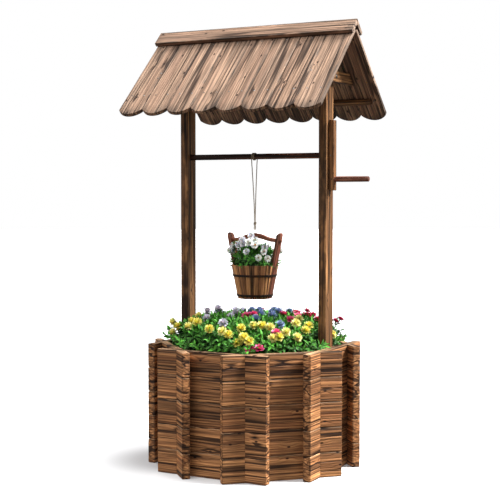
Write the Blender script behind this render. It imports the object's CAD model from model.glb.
"""Looks of the wishing well planter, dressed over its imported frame, in metres.

Each sub-assembly is a class that holds its sizes and builds its own pieces. A piece is a surface
worked out on a grid with whole arrays: a section carried along a path, or a blade repeated at many
places. Each point of a wooden piece also knows where it lies in its own plank, so that the grain
runs along the wood and shows as rings on its ends.
"""

from __future__ import annotations

import logging
from collections.abc import Callable
from dataclasses import dataclass, field
from enum import Enum
from typing import ClassVar

import bmesh
import bpy
import numpy as np
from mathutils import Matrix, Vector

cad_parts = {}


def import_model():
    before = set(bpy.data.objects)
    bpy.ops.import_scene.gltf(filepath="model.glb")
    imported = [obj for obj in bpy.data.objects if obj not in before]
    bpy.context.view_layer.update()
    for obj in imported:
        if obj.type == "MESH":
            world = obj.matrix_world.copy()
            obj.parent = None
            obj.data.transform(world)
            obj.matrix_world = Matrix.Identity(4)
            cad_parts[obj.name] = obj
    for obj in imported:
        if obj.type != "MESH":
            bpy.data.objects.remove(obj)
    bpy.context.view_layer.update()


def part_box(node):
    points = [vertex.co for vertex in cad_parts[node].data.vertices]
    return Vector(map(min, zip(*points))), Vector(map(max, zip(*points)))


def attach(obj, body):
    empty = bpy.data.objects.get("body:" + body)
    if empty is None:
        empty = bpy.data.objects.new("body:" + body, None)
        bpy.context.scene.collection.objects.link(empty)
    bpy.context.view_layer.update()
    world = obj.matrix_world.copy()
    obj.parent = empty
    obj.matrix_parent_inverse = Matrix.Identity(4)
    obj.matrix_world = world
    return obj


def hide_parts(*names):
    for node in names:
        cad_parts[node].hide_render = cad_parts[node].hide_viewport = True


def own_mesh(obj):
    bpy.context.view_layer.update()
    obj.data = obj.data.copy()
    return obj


LOG = logging.getLogger("wishing_well")
Array = np.ndarray
Material = bpy.types.Material
Piece = bpy.types.Object
Socket = bpy.types.NodeSocket
Triple = tuple[float, float, float]
Cut = Callable[[Array, Array], Array]
GOLDEN_ANGLE = np.radians(137.508)
X_WAY, Y_WAY, Z_WAY = np.eye(3)
AXLE_HEIGHT = 0.800
SEAT = 0.0002  # gap between pieces that rest on each other
MERGE = 2e-6  # points nearer than this become one
VANISHING = 1e-7  # edges shorter than this go
SHARP = np.radians(45)  # edges that turn further stay sharp
EYE = 10.0  # added to the second value of a petal in a flower's eye


# Surfaces


def unit(ways: Array) -> Array:
    """Each direction at length 1."""
    return ways / np.linalg.norm(ways, axis=-1, keepdims=True)


def even_angles(count: int) -> Array:
    """Angles that share a whole turn evenly, from 0."""
    return np.arange(count) * 2 * np.pi / count


def round_ways(angles: Array) -> Array:
    """Directions (cos a, sin a)."""
    return np.stack([np.cos(angles), np.sin(angles)], axis=-1)


@dataclass
class Shell:
    """A surface: its points, its faces, and what its finish reads at each point.

    `grain` is the place in the plank, leaf or petal; `tone` tells neighbouring pieces apart; `edge`
    is 1 on worn edges and 0 inside a face.
    """

    points: Array
    faces: list[Array]
    grain: Array
    tone: Array
    edge: Array

    def placed(self, axes: Array, origin: Array | Triple) -> Shell:
        """The shell with its own axes turned to the rows of `axes` and moved to `origin`."""
        return Shell(self.points @ axes + origin, self.faces, self.grain, self.tone, self.edge)


def joined(shells: list[Shell]) -> Shell:
    """Several shells as one.

    Args:
        shells: in order.

    Returns:
        The shell; each face's point numbers rise by the points before it.
    """
    starts = np.cumsum([0] + [len(shell.points) for shell in shells[:-1]])
    faces = [quads + start for shell, start in zip(shells, starts) for quads in shell.faces]
    points, grain, tone, edge = (
        np.concatenate([getattr(shell, kind) for shell in shells])
        for kind in ("points", "grain", "tone", "edge"))
    return Shell(points, faces, grain, tone, edge)


def skin(rows: int, columns: int) -> Array:
    """Quads over a grid of closed rows: (i, j), (i, j+1), (i+1, j+1), (i+1, j), with j wrapping.

    Args:
        rows: rings of the grid.
        columns: points round a ring.

    Returns:
        Point numbers, shape (faces, 4).
    """
    numbers = np.arange(rows * columns).reshape(rows, columns)
    beside = np.roll(numbers, -1, axis=1)
    quads = np.stack([numbers[:-1], beside[:-1], beside[1:], numbers[1:]], axis=-1)
    return quads.reshape(-1, 4)


def sheet(points: Array, grain: Array | None = None, tone: float = 0.0,
          edge: Array | float = 0.0) -> Shell:
    """The surface over closed rings.

    Args:
        points: the rings, shape (rings, points round, 3).
        grain: what the finish reads, or None for the place itself.
        tone: of the whole.
        edge: of each point, each ring, or the whole.

    Returns:
        The surface.
    """
    flat = points.reshape(-1, 3)
    grain = flat if grain is None else grain.reshape(-1, 3)
    worn = np.broadcast_to(edge, points.shape[:2]).ravel()
    return Shell(flat, [skin(*points.shape[:2])], grain, np.full(len(flat), tone), worn)


def stacked(line: Array, size: Array, level: Array) -> Array:
    """Rings of one outline along Z, each with its own size and height."""
    heights = np.broadcast_to(level[:, None, None], (len(size), len(line), 1))
    return np.concatenate([size[:, None, None] * line, heights], axis=-1)


def wobble(points: Array, seed: int, wavelength: float, layers: int = 5) -> Array:
    """Smooth wandering values: the mean of sines of the travel along random directions.

    Args:
        points: places, shape (..., 3).
        seed: picks the directions.
        wavelength: metres from one swell to the next, more or less.
        layers: how many sines.

    Returns:
        A value from -1 to 1 for each point.
    """
    rng = np.random.default_rng(seed)
    ways = unit(rng.normal(size=(layers, 3)))
    turns = 2 * np.pi / (wavelength * rng.uniform(0.6, 1.7, layers))
    return np.sin(points @ (ways * turns[:, None]).T + rng.uniform(0, 2 * np.pi, layers)).mean(-1)


def sink(points: Array, first: int, depth: float, seed: int, wavelength: float) -> None:
    """Lowers the rings from the first one on by up to a depth, in lumps; the last stays flat."""
    points[first:, :, 2] -= depth * (0.5 + 0.5 * wobble(points, seed, wavelength)[first:])
    points[-1, :, 2] = points[-1, :, 2].mean()


@dataclass(frozen=True)
class Outline:
    """A closed section: its points, outward directions, and edge weights."""

    points: Array
    outward: Array
    edge: Array


def softened(corners: Array, radius: float, fade: float = 0.004, inner: int = 2) -> Outline:
    """Outline of a convex section with rounded corners.

    A corner's points are its arc's middle plus radius (cos a, sin a), as a turns from one side's
    outward direction to the next side's. Each side then has a point `fade` away from either arc.

    Args:
        corners: the sharp corners, counter-clockwise, shape (n, 2).
        radius: of the rounding.
        fade: how far an edge's wear reaches into a side.
        inner: further points of a side.

    Returns:
        The outline.
    """
    ahead = unit(np.roll(corners, -1, axis=0) - corners)
    after = np.stack([ahead[:, 1], -ahead[:, 0]], axis=1)
    before = np.roll(after, 1, axis=0)
    spread = 1 + (before * after).sum(1, keepdims=True)
    middles = corners - radius * (before + after) / spread
    first = np.arctan2(before[:, 1], before[:, 0])
    sweep = (np.arctan2(after[:, 1], after[:, 0]) - first) % (2 * np.pi)
    angles = first[:, None] + sweep[:, None] * np.linspace(0, 1, 4)
    arc_ways = round_ways(angles)
    arcs = middles[:, None] + radius * arc_ways
    near, far = arcs[:, -1], np.roll(arcs[:, 0], -1, axis=0)
    length = np.linalg.norm(far - near, axis=1, keepdims=True)
    share = np.minimum(fade, length / 3) / length
    steps = np.linspace(0, 1, inner + 2)
    shares = share + (1 - 2 * share) * steps
    sides = near[:, None] + (far - near)[:, None] * shares[..., None]
    side_ways = np.repeat(after[:, None], inner + 2, axis=1)
    weights = np.r_[np.ones(4), np.zeros(inner + 2)]
    points = np.concatenate([arcs, sides], axis=1).reshape(-1, 2)
    outward = np.concatenate([arc_ways, side_ways], axis=1).reshape(-1, 2)
    return Outline(points, outward, np.tile(weights, len(corners)))


def block(width: float, height: float) -> Array:
    """Corners of a rectangle about its middle, counter-clockwise."""
    return np.array([(-1, -1), (1, -1), (1, 1), (-1, 1)]) * (width / 2, height / 2)


def disc(radius: float, sides: int) -> Outline:
    """A round section."""
    ways = round_ways(even_angles(sides))
    return Outline(ways * radius, ways, np.zeros(sides))


@dataclass
class Plank:
    """A section in (across, through), carried along from one cut to another.

    A cut is a place, or works out a place for each point; a start of None mirrors the end.
    """

    section: Outline
    end: Cut | float
    seed: int
    start: Cut | float | None = None
    rounding: float = 0.0015
    stations: int = 9
    wear: float = 0.0004

    def shell(self) -> Shell:
        """The plank's surface in (along, across, through), its grain from the log's heart.

        The last rings round the ends: at angle a the section draws in by rounding (1 - sin a) and
        stands rounding (1 - cos a) inside the cut. Two more rings close each end. Wear then draws
        each point in by a wobble, most on the edges.

        Returns:
            The plank.
        """
        rng = np.random.default_rng(self.seed)
        turn = np.linspace(0, np.pi / 2, 3)
        inset = np.r_[[self.rounding] * 2, self.rounding * (1 - np.sin(turn))]
        back = np.r_[np.zeros(2), self.rounding * (1 - np.cos(turn))]
        close = np.r_[[0.0, 0.5], np.ones(3)]
        middle = np.linspace(0, 1, self.stations)[1:-1]
        count = len(middle)
        inset = np.r_[inset, np.zeros(count), inset[::-1]][:, None]
        close = np.r_[close, np.ones(count), close[::-1]][:, None]
        share = np.r_[np.zeros(5), middle, np.ones(5)][:, None]
        offset = np.r_[back, np.zeros(count), -back[::-1]][:, None]
        across = self.section.points[:, 0] - self.section.outward[:, 0] * inset
        through = self.section.points[:, 1] - self.section.outward[:, 1] * inset
        heart = self.section.points[:, 1].mean()
        through = heart + (through - heart) * close
        first, last = (
            cut(across, through) if callable(cut) else cut for cut in (self.start, self.end))
        first = -last if first is None else first
        along = first + (last - first) * share + offset
        points = np.stack([np.broadcast_to(along, across.shape), across, through], axis=-1)
        ends = np.r_[np.zeros(2), np.ones(3), np.zeros(count), np.ones(3), np.zeros(2)]
        edge = np.maximum(self.section.edge, ends[:, None] * 0.8)
        pull = 0.4 + 0.4 * wobble(points, self.seed, 0.11) + edge * (
            0.9 + 1.4 * np.maximum(0, wobble(points, self.seed + 1, 0.022)))
        drawn = -self.wear * pull[..., None] * self.section.outward[None]
        points[..., 1:] += drawn * close[..., None]
        shift = np.array([rng.uniform(0, 40), rng.uniform(0.03, 0.10) * rng.choice([-1, 1]),
                         rng.uniform(-0.05, 0.05)])
        return sheet(points, points + shift, rng.uniform(), edge)


def frame_of(along: Array, across: Array) -> Array:
    """Axes of a plank as rows: along, across, and through at right angles to both."""
    return np.stack([along, across, np.cross(along, across)])


def turned(stations: Array, radii: Array, sides: int, seed: int, wear: float = 0.0) -> Shell:
    """A turned piece about X, its grain along X.

    Args:
        stations: places along X.
        radii: one for each station, 0 at both ends.
        sides: points round.
        seed: of the wobble and the wood.
        wear: most that a wobble draws in a point.

    Returns:
        A closed shell.
    """
    rng = np.random.default_rng(seed)
    ways = disc(1, sides).points
    points = np.empty((len(stations), sides, 3))
    points[..., 0] = stations[:, None]
    points[..., 1:] = radii[:, None, None] * ways
    pull = 1 - wear * (0.5 + 0.5 * wobble(points, seed, 0.03)) / max(radii.max(), 1e-6)
    points[..., 1:] *= pull[..., None]
    steps = np.abs(np.diff(radii, prepend=radii[0], append=radii[-1]))
    edge = (np.maximum(steps[1:], steps[:-1]) > 1e-5).astype(float)[:, None]
    shift = np.array([rng.uniform(0, 40), rng.uniform(-0.02, 0.02), rng.uniform(-0.02, 0.02)])
    return sheet(points, points + shift, rng.uniform(), edge)


def swept(path: Array, radius: float, lay: float, reference: Array, depth: float = 0.2,
          sides: int = 12, closed: bool = False) -> Shell:
    """Three-ply twine along a path.

    At angle a round the path, the surface stands radius (1 - depth (1 - cos 3b) / 2) away, where b
    is a less one turn for each lay travelled.

    Args:
        path: points along the twine, shape (n, 3).
        radius: over the plies.
        lay: length of one twist.
        reference: where a is 0; never along the path.
        depth: of the grooves, as a share of the radius.
        sides: points round.
        closed: whether the path meets itself.

    Returns:
        The shell; `grain` holds (travel, angle, groove).
    """
    ahead = np.gradient(path, axis=0)
    if closed:
        ahead = np.roll(path, -1, axis=0) - np.roll(path, 1, axis=0)
    ahead = unit(ahead)
    side = unit(reference - (ahead @ reference)[:, None] * ahead)
    over = np.cross(ahead, side)
    travel = np.r_[[0], np.cumsum(np.linalg.norm(np.diff(path, axis=0), axis=1))]
    angles = even_angles(sides)
    groove = 0.5 - 0.5 * np.cos(3 * (angles - 2 * np.pi * travel[:, None] / lay))
    reach = radius * (1 - depth * groove)
    points = path[:, None] + reach[..., None] * (
        np.cos(angles)[:, None] * side[:, None] + np.sin(angles)[:, None] * over[:, None])
    grain = np.stack([np.broadcast_to(travel[:, None], groove.shape), np.broadcast_to(
        angles, groove.shape), groove], axis=-1)
    if closed:
        points = np.r_[points, points[:1]]
        grain = np.r_[grain, grain[:1]]
    else:
        points = np.r_[path[None, :1].repeat(sides, 1), points, path[None, -1:].repeat(sides, 1)]
        grain = np.r_[grain[:1], grain, grain[-1:]]
    return sheet(points, grain, 0.5)


# Leaves and petals


@dataclass(frozen=True)
class Blade:
    """Form of a leaf or petal: how far it bends, folds, and where it is widest."""

    bend: float
    fold: float
    fullness: float
    bluntness: float
    rows: int = 4

    def shell(self, roots: Array, headings: Array, faces_up: Array, length: Array, width: Array,
              tone: Array, kind: Array) -> Shell:
        """Many blades at once.

        A blade's point (s, t), s from root to tip and t from -1 to 1 across, stands at root
        + length (s heading + bend s^2 up) + width w(s) (t side + fold |t| up) / 2, where
        w(s) = (s^fullness) (1 - s^bluntness) scaled to 1 at its widest.

        Args:
            roots: where they start, shape (n, 3).
            headings: directions of their ribs.
            faces_up: directions that their upper faces look.
            length: of each.
            width: of each.
            tone: shade of each.
            kind: a further value of each.

        Returns:
            One shell; `grain` holds (s, t, kind).
        """
        side = unit(np.cross(faces_up, headings))
        up = np.cross(headings, side)
        fine = np.linspace(0.001, 1, 200)
        most = (fine**self.fullness * (1 - fine**self.bluntness)).max()
        s = np.repeat(np.linspace(0.02, 0.9, self.rows), 3)
        s = np.append(s, 1.0)
        t = np.append(np.tile([-1.0, 0.0, 1.0], self.rows), 0.0)
        spread = s**self.fullness * (1 - s**self.bluntness) / most
        along = length[:, None, None] * (
            s[:, None] * headings[:, None] + (self.bend * s**2)[:, None] * up[:, None])
        out = width[:, None, None] / 2 * spread[:, None] * (
            t[:, None] * side[:, None] + (self.fold * np.abs(t))[:, None] * up[:, None])
        points = roots[:, None] + along + out
        first = np.arange(self.rows - 1)[:, None] * 3 + np.array([0, 1])
        quads = np.stack([first, first + 3, first + 4, first + 1], axis=-1).reshape(-1, 4)
        last = 3 * (self.rows - 1)
        tips = np.array([[last, last + 3, last + 1], [last + 1, last + 3, last + 2]])
        count, size = len(roots), len(s)
        starts = np.arange(count)[:, None, None] * size
        grain = np.stack([np.broadcast_to(value, (count, size)) for value in (s, t, kind[:, None])],
                         axis=-1)
        faces = [(quads + starts).reshape(-1, 4), (tips + starts).reshape(-1, 3)]
        return Shell(points.reshape(-1, 3), faces, grain.reshape(-1, 3), np.repeat(tone, size),
                     np.zeros(count * size))


def squared(ways: Array) -> tuple[Array, Array]:
    """Two directions at right angles to each given one and to each other."""
    one = unit(np.cross(np.where(np.abs(ways[:, 2:]) < 0.9, Z_WAY, X_WAY), ways))
    return one, np.cross(ways, one)


# Finishes


class Recipe:
    """A finish under way: a material and short ways to add and join its nodes."""

    def __init__(self, name: str) -> None:
        """Starts an empty material.

        Args:
            name: of the material.
        """
        self.material = bpy.data.materials.new(name)
        self.material.use_nodes = True
        self.tree = self.material.node_tree
        self.tree.nodes.clear()

    def add(self, kind: str, inputs: dict | None = None, **settings: object) -> bpy.types.Node:
        """Adds a node.

        Args:
            kind: the node's type.
            inputs: values or sockets by input name or number.
            settings: the node's own options.

        Returns:
            The node.
        """
        node = self.tree.nodes.new(kind)
        for key, value in settings.items():
            setattr(node, key, value)
        for key, value in (inputs or {}).items():
            if isinstance(value, Socket):
                self.tree.links.new(value, node.inputs[key])
            else:
                node.inputs[key].default_value = value
        return node

    def read(self, name: str, output: str) -> Socket:
        """A value that the mesh carries at each point."""
        return self.add("ShaderNodeAttribute", attribute_name=name).outputs[output]

    def place(self) -> Socket:
        """The place on the object."""
        return self.add("ShaderNodeTexCoord").outputs["Object"]

    def split(self, vector: object) -> list[Socket]:
        """A vector's three parts."""
        return list(self.add("ShaderNodeSeparateXYZ", {0: vector}).outputs)

    def sum(self, kind: str, *values: object) -> Socket:
        """One step of arithmetic on one to three values."""
        return self.add("ShaderNodeMath", dict(enumerate(values)), operation=kind).outputs[0]

    def times(self, one: object, other: object, *plus: object) -> Socket:
        """One value times another, plus a third where there is one."""
        return self.sum("MULTIPLY_ADD" if plus else "MULTIPLY", one, other, *plus)

    def measured(self, kind: str, *vectors: object) -> Socket:
        """The length of a vector, or the distance between two."""
        return self.add(
            "ShaderNodeVectorMath", dict(enumerate(vectors)), operation=kind).outputs["Value"]

    def scaled(self, vector: object, size: Triple, shift: float = 0.0) -> Socket:
        """A vector stretched by the given sizes and moved by one shift."""
        return self.add("ShaderNodeVectorMath", {0: vector, 1: size, 2: (shift,) * 3},
                        operation="MULTIPLY_ADD").outputs[0]

    def noise(self, vector: object, detail: float = 2.0, rough: float = 0.5,
              warp: float = 0.0) -> Socket:
        """Cloudy noise from about 0.25 to 0.75 over a vector."""
        return self.add("ShaderNodeTexNoise", {
            "Vector": vector, "Scale": 1.0, "Detail": detail, "Roughness": rough,
            "Distortion": warp}).outputs[0]

    def between(self, value: object, low: float, high: float, first: float = 0.0,
                last: float = 1.0) -> Socket:
        """A smooth step from first to last, as a value goes from low to high."""
        return self.add("ShaderNodeMapRange", {0: value, 1: low, 2: high, 3: first, 4: last},
                        interpolation_type="SMOOTHSTEP").outputs[0]

    def blend(self, share: object, one: object, other: object, way: str = "MIX") -> Socket:
        """A colour with another laid over it by a share from 0 to 1; both plain or sockets."""
        below, above = (
            (*colour, 1.0) if isinstance(colour, tuple) else colour for colour in (one, other))
        return self.add("ShaderNodeMix", {0: share, 6: below, 7: above}, data_type="RGBA",
                        blend_type=way).outputs[2]

    def shaded(self, colour: object, light: Socket) -> Socket:
        """A colour made darker or lighter by a factor."""
        grey = self.add("ShaderNodeCombineColor", {0: light, 1: light, 2: light}).outputs[0]
        return self.blend(1.0, colour, grey, "MULTIPLY")

    def finished(self, colour: Socket, rough: object, height: object = None, depth: float = 0.001,
                 **plain: object) -> Material:
        """Ends the recipe.

        Args:
            colour: base colour.
            rough: roughness.
            height: relief from 0 to 1, or None.
            depth: metres of relief.
            plain: other inputs, by their names with _ for spaces.

        Returns:
            The material.
        """
        inputs = {"Base Color": colour, "Roughness": rough}
        inputs |= {key.replace("_", " "): value for key, value in plain.items()}
        if height is not None:
            inputs["Normal"] = self.add("ShaderNodeBump", {
                "Height": height, "Distance": depth, "Strength": 1.0}).outputs[0]
        surface = self.add("ShaderNodeBsdfPrincipled", inputs)
        self.add("ShaderNodeOutputMaterial", {"Surface": surface.outputs[0]})
        return self.material


@dataclass(frozen=True)
class Wood:
    """Sawn softwood: year rings about the log's heart, fibres, knots, and scorched streaks."""

    name: str
    pale: Triple
    warm: Triple
    ring_dark: Triple
    scorch: Triple
    ring: float = 0.0065
    scorching: float = 0.9
    knots: float = 0.3
    bleach: float = 0.0
    bleached: Triple = (0.50, 0.40, 0.30)
    end_bleach: float = 0.0
    edge_shade: float = 0.6
    edge_colour: Triple = (0.02, 0.01, 0.006)
    rough: float = 0.6
    relief: float = 0.0009

    def material(self) -> Material:
        """The wood's material.

        Rings are a sine of the distance from the heart, bent by slow noise and pushed out round
        knots, which are the middles of scattered cells. Fibres are noise drawn out along the grain.
        Dark lines lie where such a noise crosses its middle, with paler wood beside them and
        stained wood between some. Faces that look at the sky or out of a gable may be bleached.

        Returns:
            The material.
        """
        mix = Recipe(self.name)
        grain = mix.read("grain", "Vector")
        tone = mix.read("tone", "Fac")
        edge = mix.read("edge", "Fac")

        def crossed(size: Triple, shift: float, push: object = 0.0) -> tuple[Socket, Socket]:
            """Noise drawn out along the grain and pushed up, and how far it is from 0.5."""
            value = mix.sum("ADD", mix.noise(mix.scaled(grain, size, shift), 2.0), push)
            return value, mix.sum("ABSOLUTE", mix.sum("SUBTRACT", value, 0.5))

        cells = mix.add("ShaderNodeTexVoronoi", {"Vector": mix.scaled(grain, (14, 26, 1)),
                        "Scale": 1.0, "Randomness": 1.0}, voronoi_dimensions="2D")
        cell_pick = mix.add("ShaderNodeSeparateColor", {0: cells.outputs["Color"]}).outputs[0]
        present = mix.sum("LESS_THAN", cell_pick, self.knots)
        away = cells.outputs["Distance"]
        knot = mix.times(mix.between(away, 0.08, 0.04), present)
        bulge = mix.times(mix.between(away, 0.45, 0.0), present)
        slow = mix.noise(mix.scaled(grain, (1.4, 16, 16)), 2.0)
        quick = mix.noise(mix.scaled(grain, (7, 95, 60), 3.0), 2.0)
        radius = mix.measured("LENGTH", mix.scaled(grain, (0, 1, 1)))
        bent = mix.times(slow, 0.022, radius)
        bent = mix.times(quick, 0.0030, bent)
        bent = mix.times(bulge, 0.006, bent)
        wave = mix.sum("SINE", mix.times(bent, 2 * np.pi / self.ring))
        late = mix.between(wave, 0.3, 1.0)
        bands = mix.noise(mix.scaled(grain, (0.8, 30, 18), 11.0), 3.0, 0.6)
        crossing, near = crossed((0.7, 34, 12), 5.0, mix.times(bulge, 0.04))
        line = mix.between(near, 0.036, 0.010)
        hair = mix.between(crossed((1.1, 90, 30), 17.0)[1], 0.05, 0.012)
        smoky = mix.times(mix.between(crossing, 0.51, 0.55), mix.between(slow, 0.50, 0.58))
        fibres = mix.noise(mix.scaled(grain, (13, 520, 150), 1.0), 3.0, 0.65)
        strands = mix.noise(mix.scaled(grain, (5, 210, 60), 8.0), 2.0, 0.6)
        patchy = mix.between(mix.noise(mix.scaled(grain, (30, 60, 60), 2.0), 2.0), 0.35, 0.6)
        layers = [
            (mix.between(bands, 0.36, 0.62), self.warm),
            (mix.times(late, mix.between(bands, 0.3, 0.6, 0.35, 0.8)), self.ring_dark),
            (mix.between(near, 0.11, 0.05, 0.0, 0.45), self.pale),
            (mix.times(smoky, 0.5 * self.scorching), self.ring_dark),
            (mix.times(hair, 0.7 * self.scorching), self.ring_dark),
            (mix.times(mix.times(edge, patchy), self.edge_shade), self.edge_colour)]
        if self.bleach:
            facing = mix.split(mix.add("ShaderNodeNewGeometry").outputs["Normal"])
            ends = mix.between(mix.sum("ABSOLUTE", facing[0]), 0.93, 0.98, 0.0, self.end_bleach)
            open_to = mix.sum("MAXIMUM", mix.between(facing[2], 0.0, 0.6), ends)
            layers.append((mix.times(open_to, mix.between(
                bands, 0.3, 0.65, self.bleach, self.bleach * 0.6)), self.bleached))
        layers += [(mix.times(line, self.scorching), self.scorch),
                   (mix.times(knot, 0.92), self.scorch)]
        colour = self.pale
        for share, laid in layers:
            colour = mix.blend(share, colour, laid)
        light = mix.times(tone, 0.36, 0.84)
        light = mix.times(light, mix.between(fibres, 0.3, 0.7, 0.70, 1.28))
        light = mix.times(light, mix.between(strands, 0.34, 0.66, 0.56, 1.38))
        colour = mix.shaded(colour, light)
        height = mix.times(late, -0.35, mix.times(fibres, 0.5))
        height = mix.times(line, -0.6, height)
        height = mix.times(knot, -0.25, height)
        rough = mix.times(fibres, 0.25, self.rough - 0.12)
        return mix.finished(colour, rough, height, self.relief, Specular_IOR_Level=0.2)


@dataclass(frozen=True)
class Twine:
    """Twisted jute: pale humps, dark grooves, and short hairs along the plies."""

    name: str = "jute_twine"
    hump: Triple = (0.34, 0.26, 0.17)
    groove: Triple = (0.11, 0.075, 0.045)

    def material(self) -> Material:
        """The twine's material, from the travel, angle and groove that its points carry.

        Returns:
            The material.
        """
        mix = Recipe(self.name)
        grain = mix.read("grain", "Vector")
        groove = mix.split(grain)[2]
        hairs = mix.noise(mix.scaled(grain, (1500, 4, 3)), 3.0, 0.7)
        colour = mix.blend(groove, self.hump, self.groove)
        colour = mix.blend(mix.between(hairs, 0.4, 0.7, 0.0, 0.45), colour, (0.36, 0.28, 0.18))
        return mix.finished(colour, 0.85, hairs, 0.0003)


@dataclass(frozen=True)
class Metal:
    """Steel with its zinc dulled, or a thin dark band, both finely scratched."""

    name: str
    colour: Triple
    stain: Triple
    rough: float = 0.38
    metallic: float = 1.0

    def material(self) -> Material:
        """The metal's material: cloudy stains over a bright ground.

        Returns:
            The material.
        """
        mix = Recipe(self.name)
        place = mix.place()
        clouds = mix.noise(mix.scaled(place, (140, 140, 140)), 4.0, 0.6)
        scratches = mix.noise(mix.scaled(place, (900, 900, 160)), 2.0)
        colour = mix.blend(mix.between(clouds, 0.42, 0.62), self.colour, self.stain)
        rough = mix.between(scratches, 0.3, 0.7, self.rough - 0.08, self.rough + 0.22)
        return mix.finished(colour, rough, scratches, 0.00012, Metallic=self.metallic)


@dataclass(frozen=True)
class Soil:
    """Potting soil: dark crumbs with pale grit."""

    name: str = "potting_soil"

    def material(self) -> Material:
        """The soil's material, over Object coordinates.

        Returns:
            The material.
        """
        mix = Recipe(self.name)
        place = mix.place()
        crumbs = mix.add("ShaderNodeTexVoronoi", {"Vector": place, "Scale": 160.0})
        clods = mix.noise(mix.scaled(place, (60, 60, 60)), 5.0, 0.7)
        colour = mix.blend(
            mix.between(clods, 0.35, 0.65), (0.012, 0.007, 0.004), (0.055, 0.032, 0.018))
        grit = mix.between(crumbs.outputs["Distance"], 0.18, 0.08, 0.0, 0.5)
        colour = mix.blend(grit, colour, (0.16, 0.12, 0.08))
        height = mix.sum("ADD", clods, crumbs.outputs["Distance"])
        return mix.finished(colour, 0.95, height, 0.004)


@dataclass(frozen=True)
class BagCloth:
    """Black felted planting cloth."""

    name: str = "planting_cloth"

    def material(self) -> Material:
        """The cloth's material: matted fibres pressed flat in spots.

        Returns:
            The material.
        """
        mix = Recipe(self.name)
        place = mix.place()
        felt = mix.noise(mix.scaled(place, (420, 420, 420)), 4.0, 0.7, 0.6)
        spots = mix.add("ShaderNodeTexVoronoi", {"Vector": place, "Scale": 330.0}).outputs[0]
        colour = mix.blend(mix.between(felt, 0.35, 0.7), (0.008, 0.008, 0.009), (0.04, 0.04, 0.042))
        height = mix.sum("ADD", felt, mix.between(spots, 0.1, 0.5))
        return mix.finished(colour, 0.85, height, 0.0006)


@dataclass(frozen=True)
class LeafGreen:
    """Leaves: a pale rib and side veins, each leaf its own green, shaded towards its root."""

    name: str = "bedding_leaves"
    deep: Triple = (0.003, 0.022, 0.004)
    fresh: Triple = (0.090, 0.37, 0.030)
    rib: Triple = (0.24, 0.52, 0.14)

    def material(self) -> Material:
        """The leaves' material, from the place along and across each leaf.

        Returns:
            The material.
        """
        mix = Recipe(self.name)
        grain = mix.read("grain", "Vector")
        tone = mix.read("tone", "Fac")
        along, across, _ = mix.split(grain)
        across = mix.sum("ABSOLUTE", across)
        rib = mix.between(across, 0.14, 0.02)
        slope = mix.times(across, -0.35, along)
        veins = mix.between(mix.sum("SINE", mix.times(slope, 42.0)), 0.75, 1.0, 0, 0.4)
        mottle = mix.noise(mix.scaled(grain, (5, 3, 40)), 3.0)
        colour = mix.blend(tone, self.deep, self.fresh)
        colour = mix.blend(mix.between(mottle, 0.35, 0.7, 0.0, 0.35), colour, self.fresh)
        colour = mix.blend(mix.sum("MAXIMUM", mix.times(rib, 0.6), veins), colour, self.rib)
        colour = mix.shaded(colour, mix.between(along, 0.0, 0.45, 0.45, 1.0))
        height = mix.sum("MAXIMUM", rib, veins)
        return mix.finished(
            colour, 0.48, height, 0.0004, Subsurface_Weight=0.08, Subsurface_Scale=0.004,
            Specular_IOR_Level=0.2)


@dataclass(frozen=True)
class PetalFinish:
    """Petals: one colour at the root, another at the tip, fine lines along, and a yellow eye."""

    name: str
    root: Triple
    tip: Triple
    other_root: Triple
    other_tip: Triple
    eye: Triple = (0.75, 0.36, 0.02)

    def material(self) -> Material:
        """The petals' material; each head's tone picks between its two colourings.

        Returns:
            The material.
        """
        mix = Recipe(self.name)
        grain = mix.read("grain", "Vector")
        tone = mix.read("tone", "Fac")
        root_to_tip, _, kind = mix.split(grain)
        lines = mix.noise(mix.scaled(grain, (2.0, 13.0, 60.0)), 3.0, 0.6)
        along = mix.between(mix.times(lines, 0.35, root_to_tip), 0.15, 1.0)
        one = mix.blend(along, self.root, self.tip)
        other = mix.blend(along, self.other_root, self.other_tip)
        colour = mix.blend(mix.sum("GREATER_THAN", tone, 0.6), one, other)
        vary = mix.between(mix.noise(mix.scaled(grain, (0.2, 0.2, 9.0), 4.0)), 0.3, 0.7, 0.8, 1.1)
        colour = mix.shaded(colour, vary)
        colour = mix.blend(mix.sum("GREATER_THAN", kind, EYE / 2), colour, self.eye)
        return mix.finished(
            colour, 0.55, lines, 0.0003, Subsurface_Weight=0.12, Subsurface_Scale=0.003)


def made(kind: Wood | Twine | Metal | Soil | BagCloth | LeafGreen | PetalFinish) -> Material:
    """A field that makes a finish's material."""
    return field(default_factory=kind.material)


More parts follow.
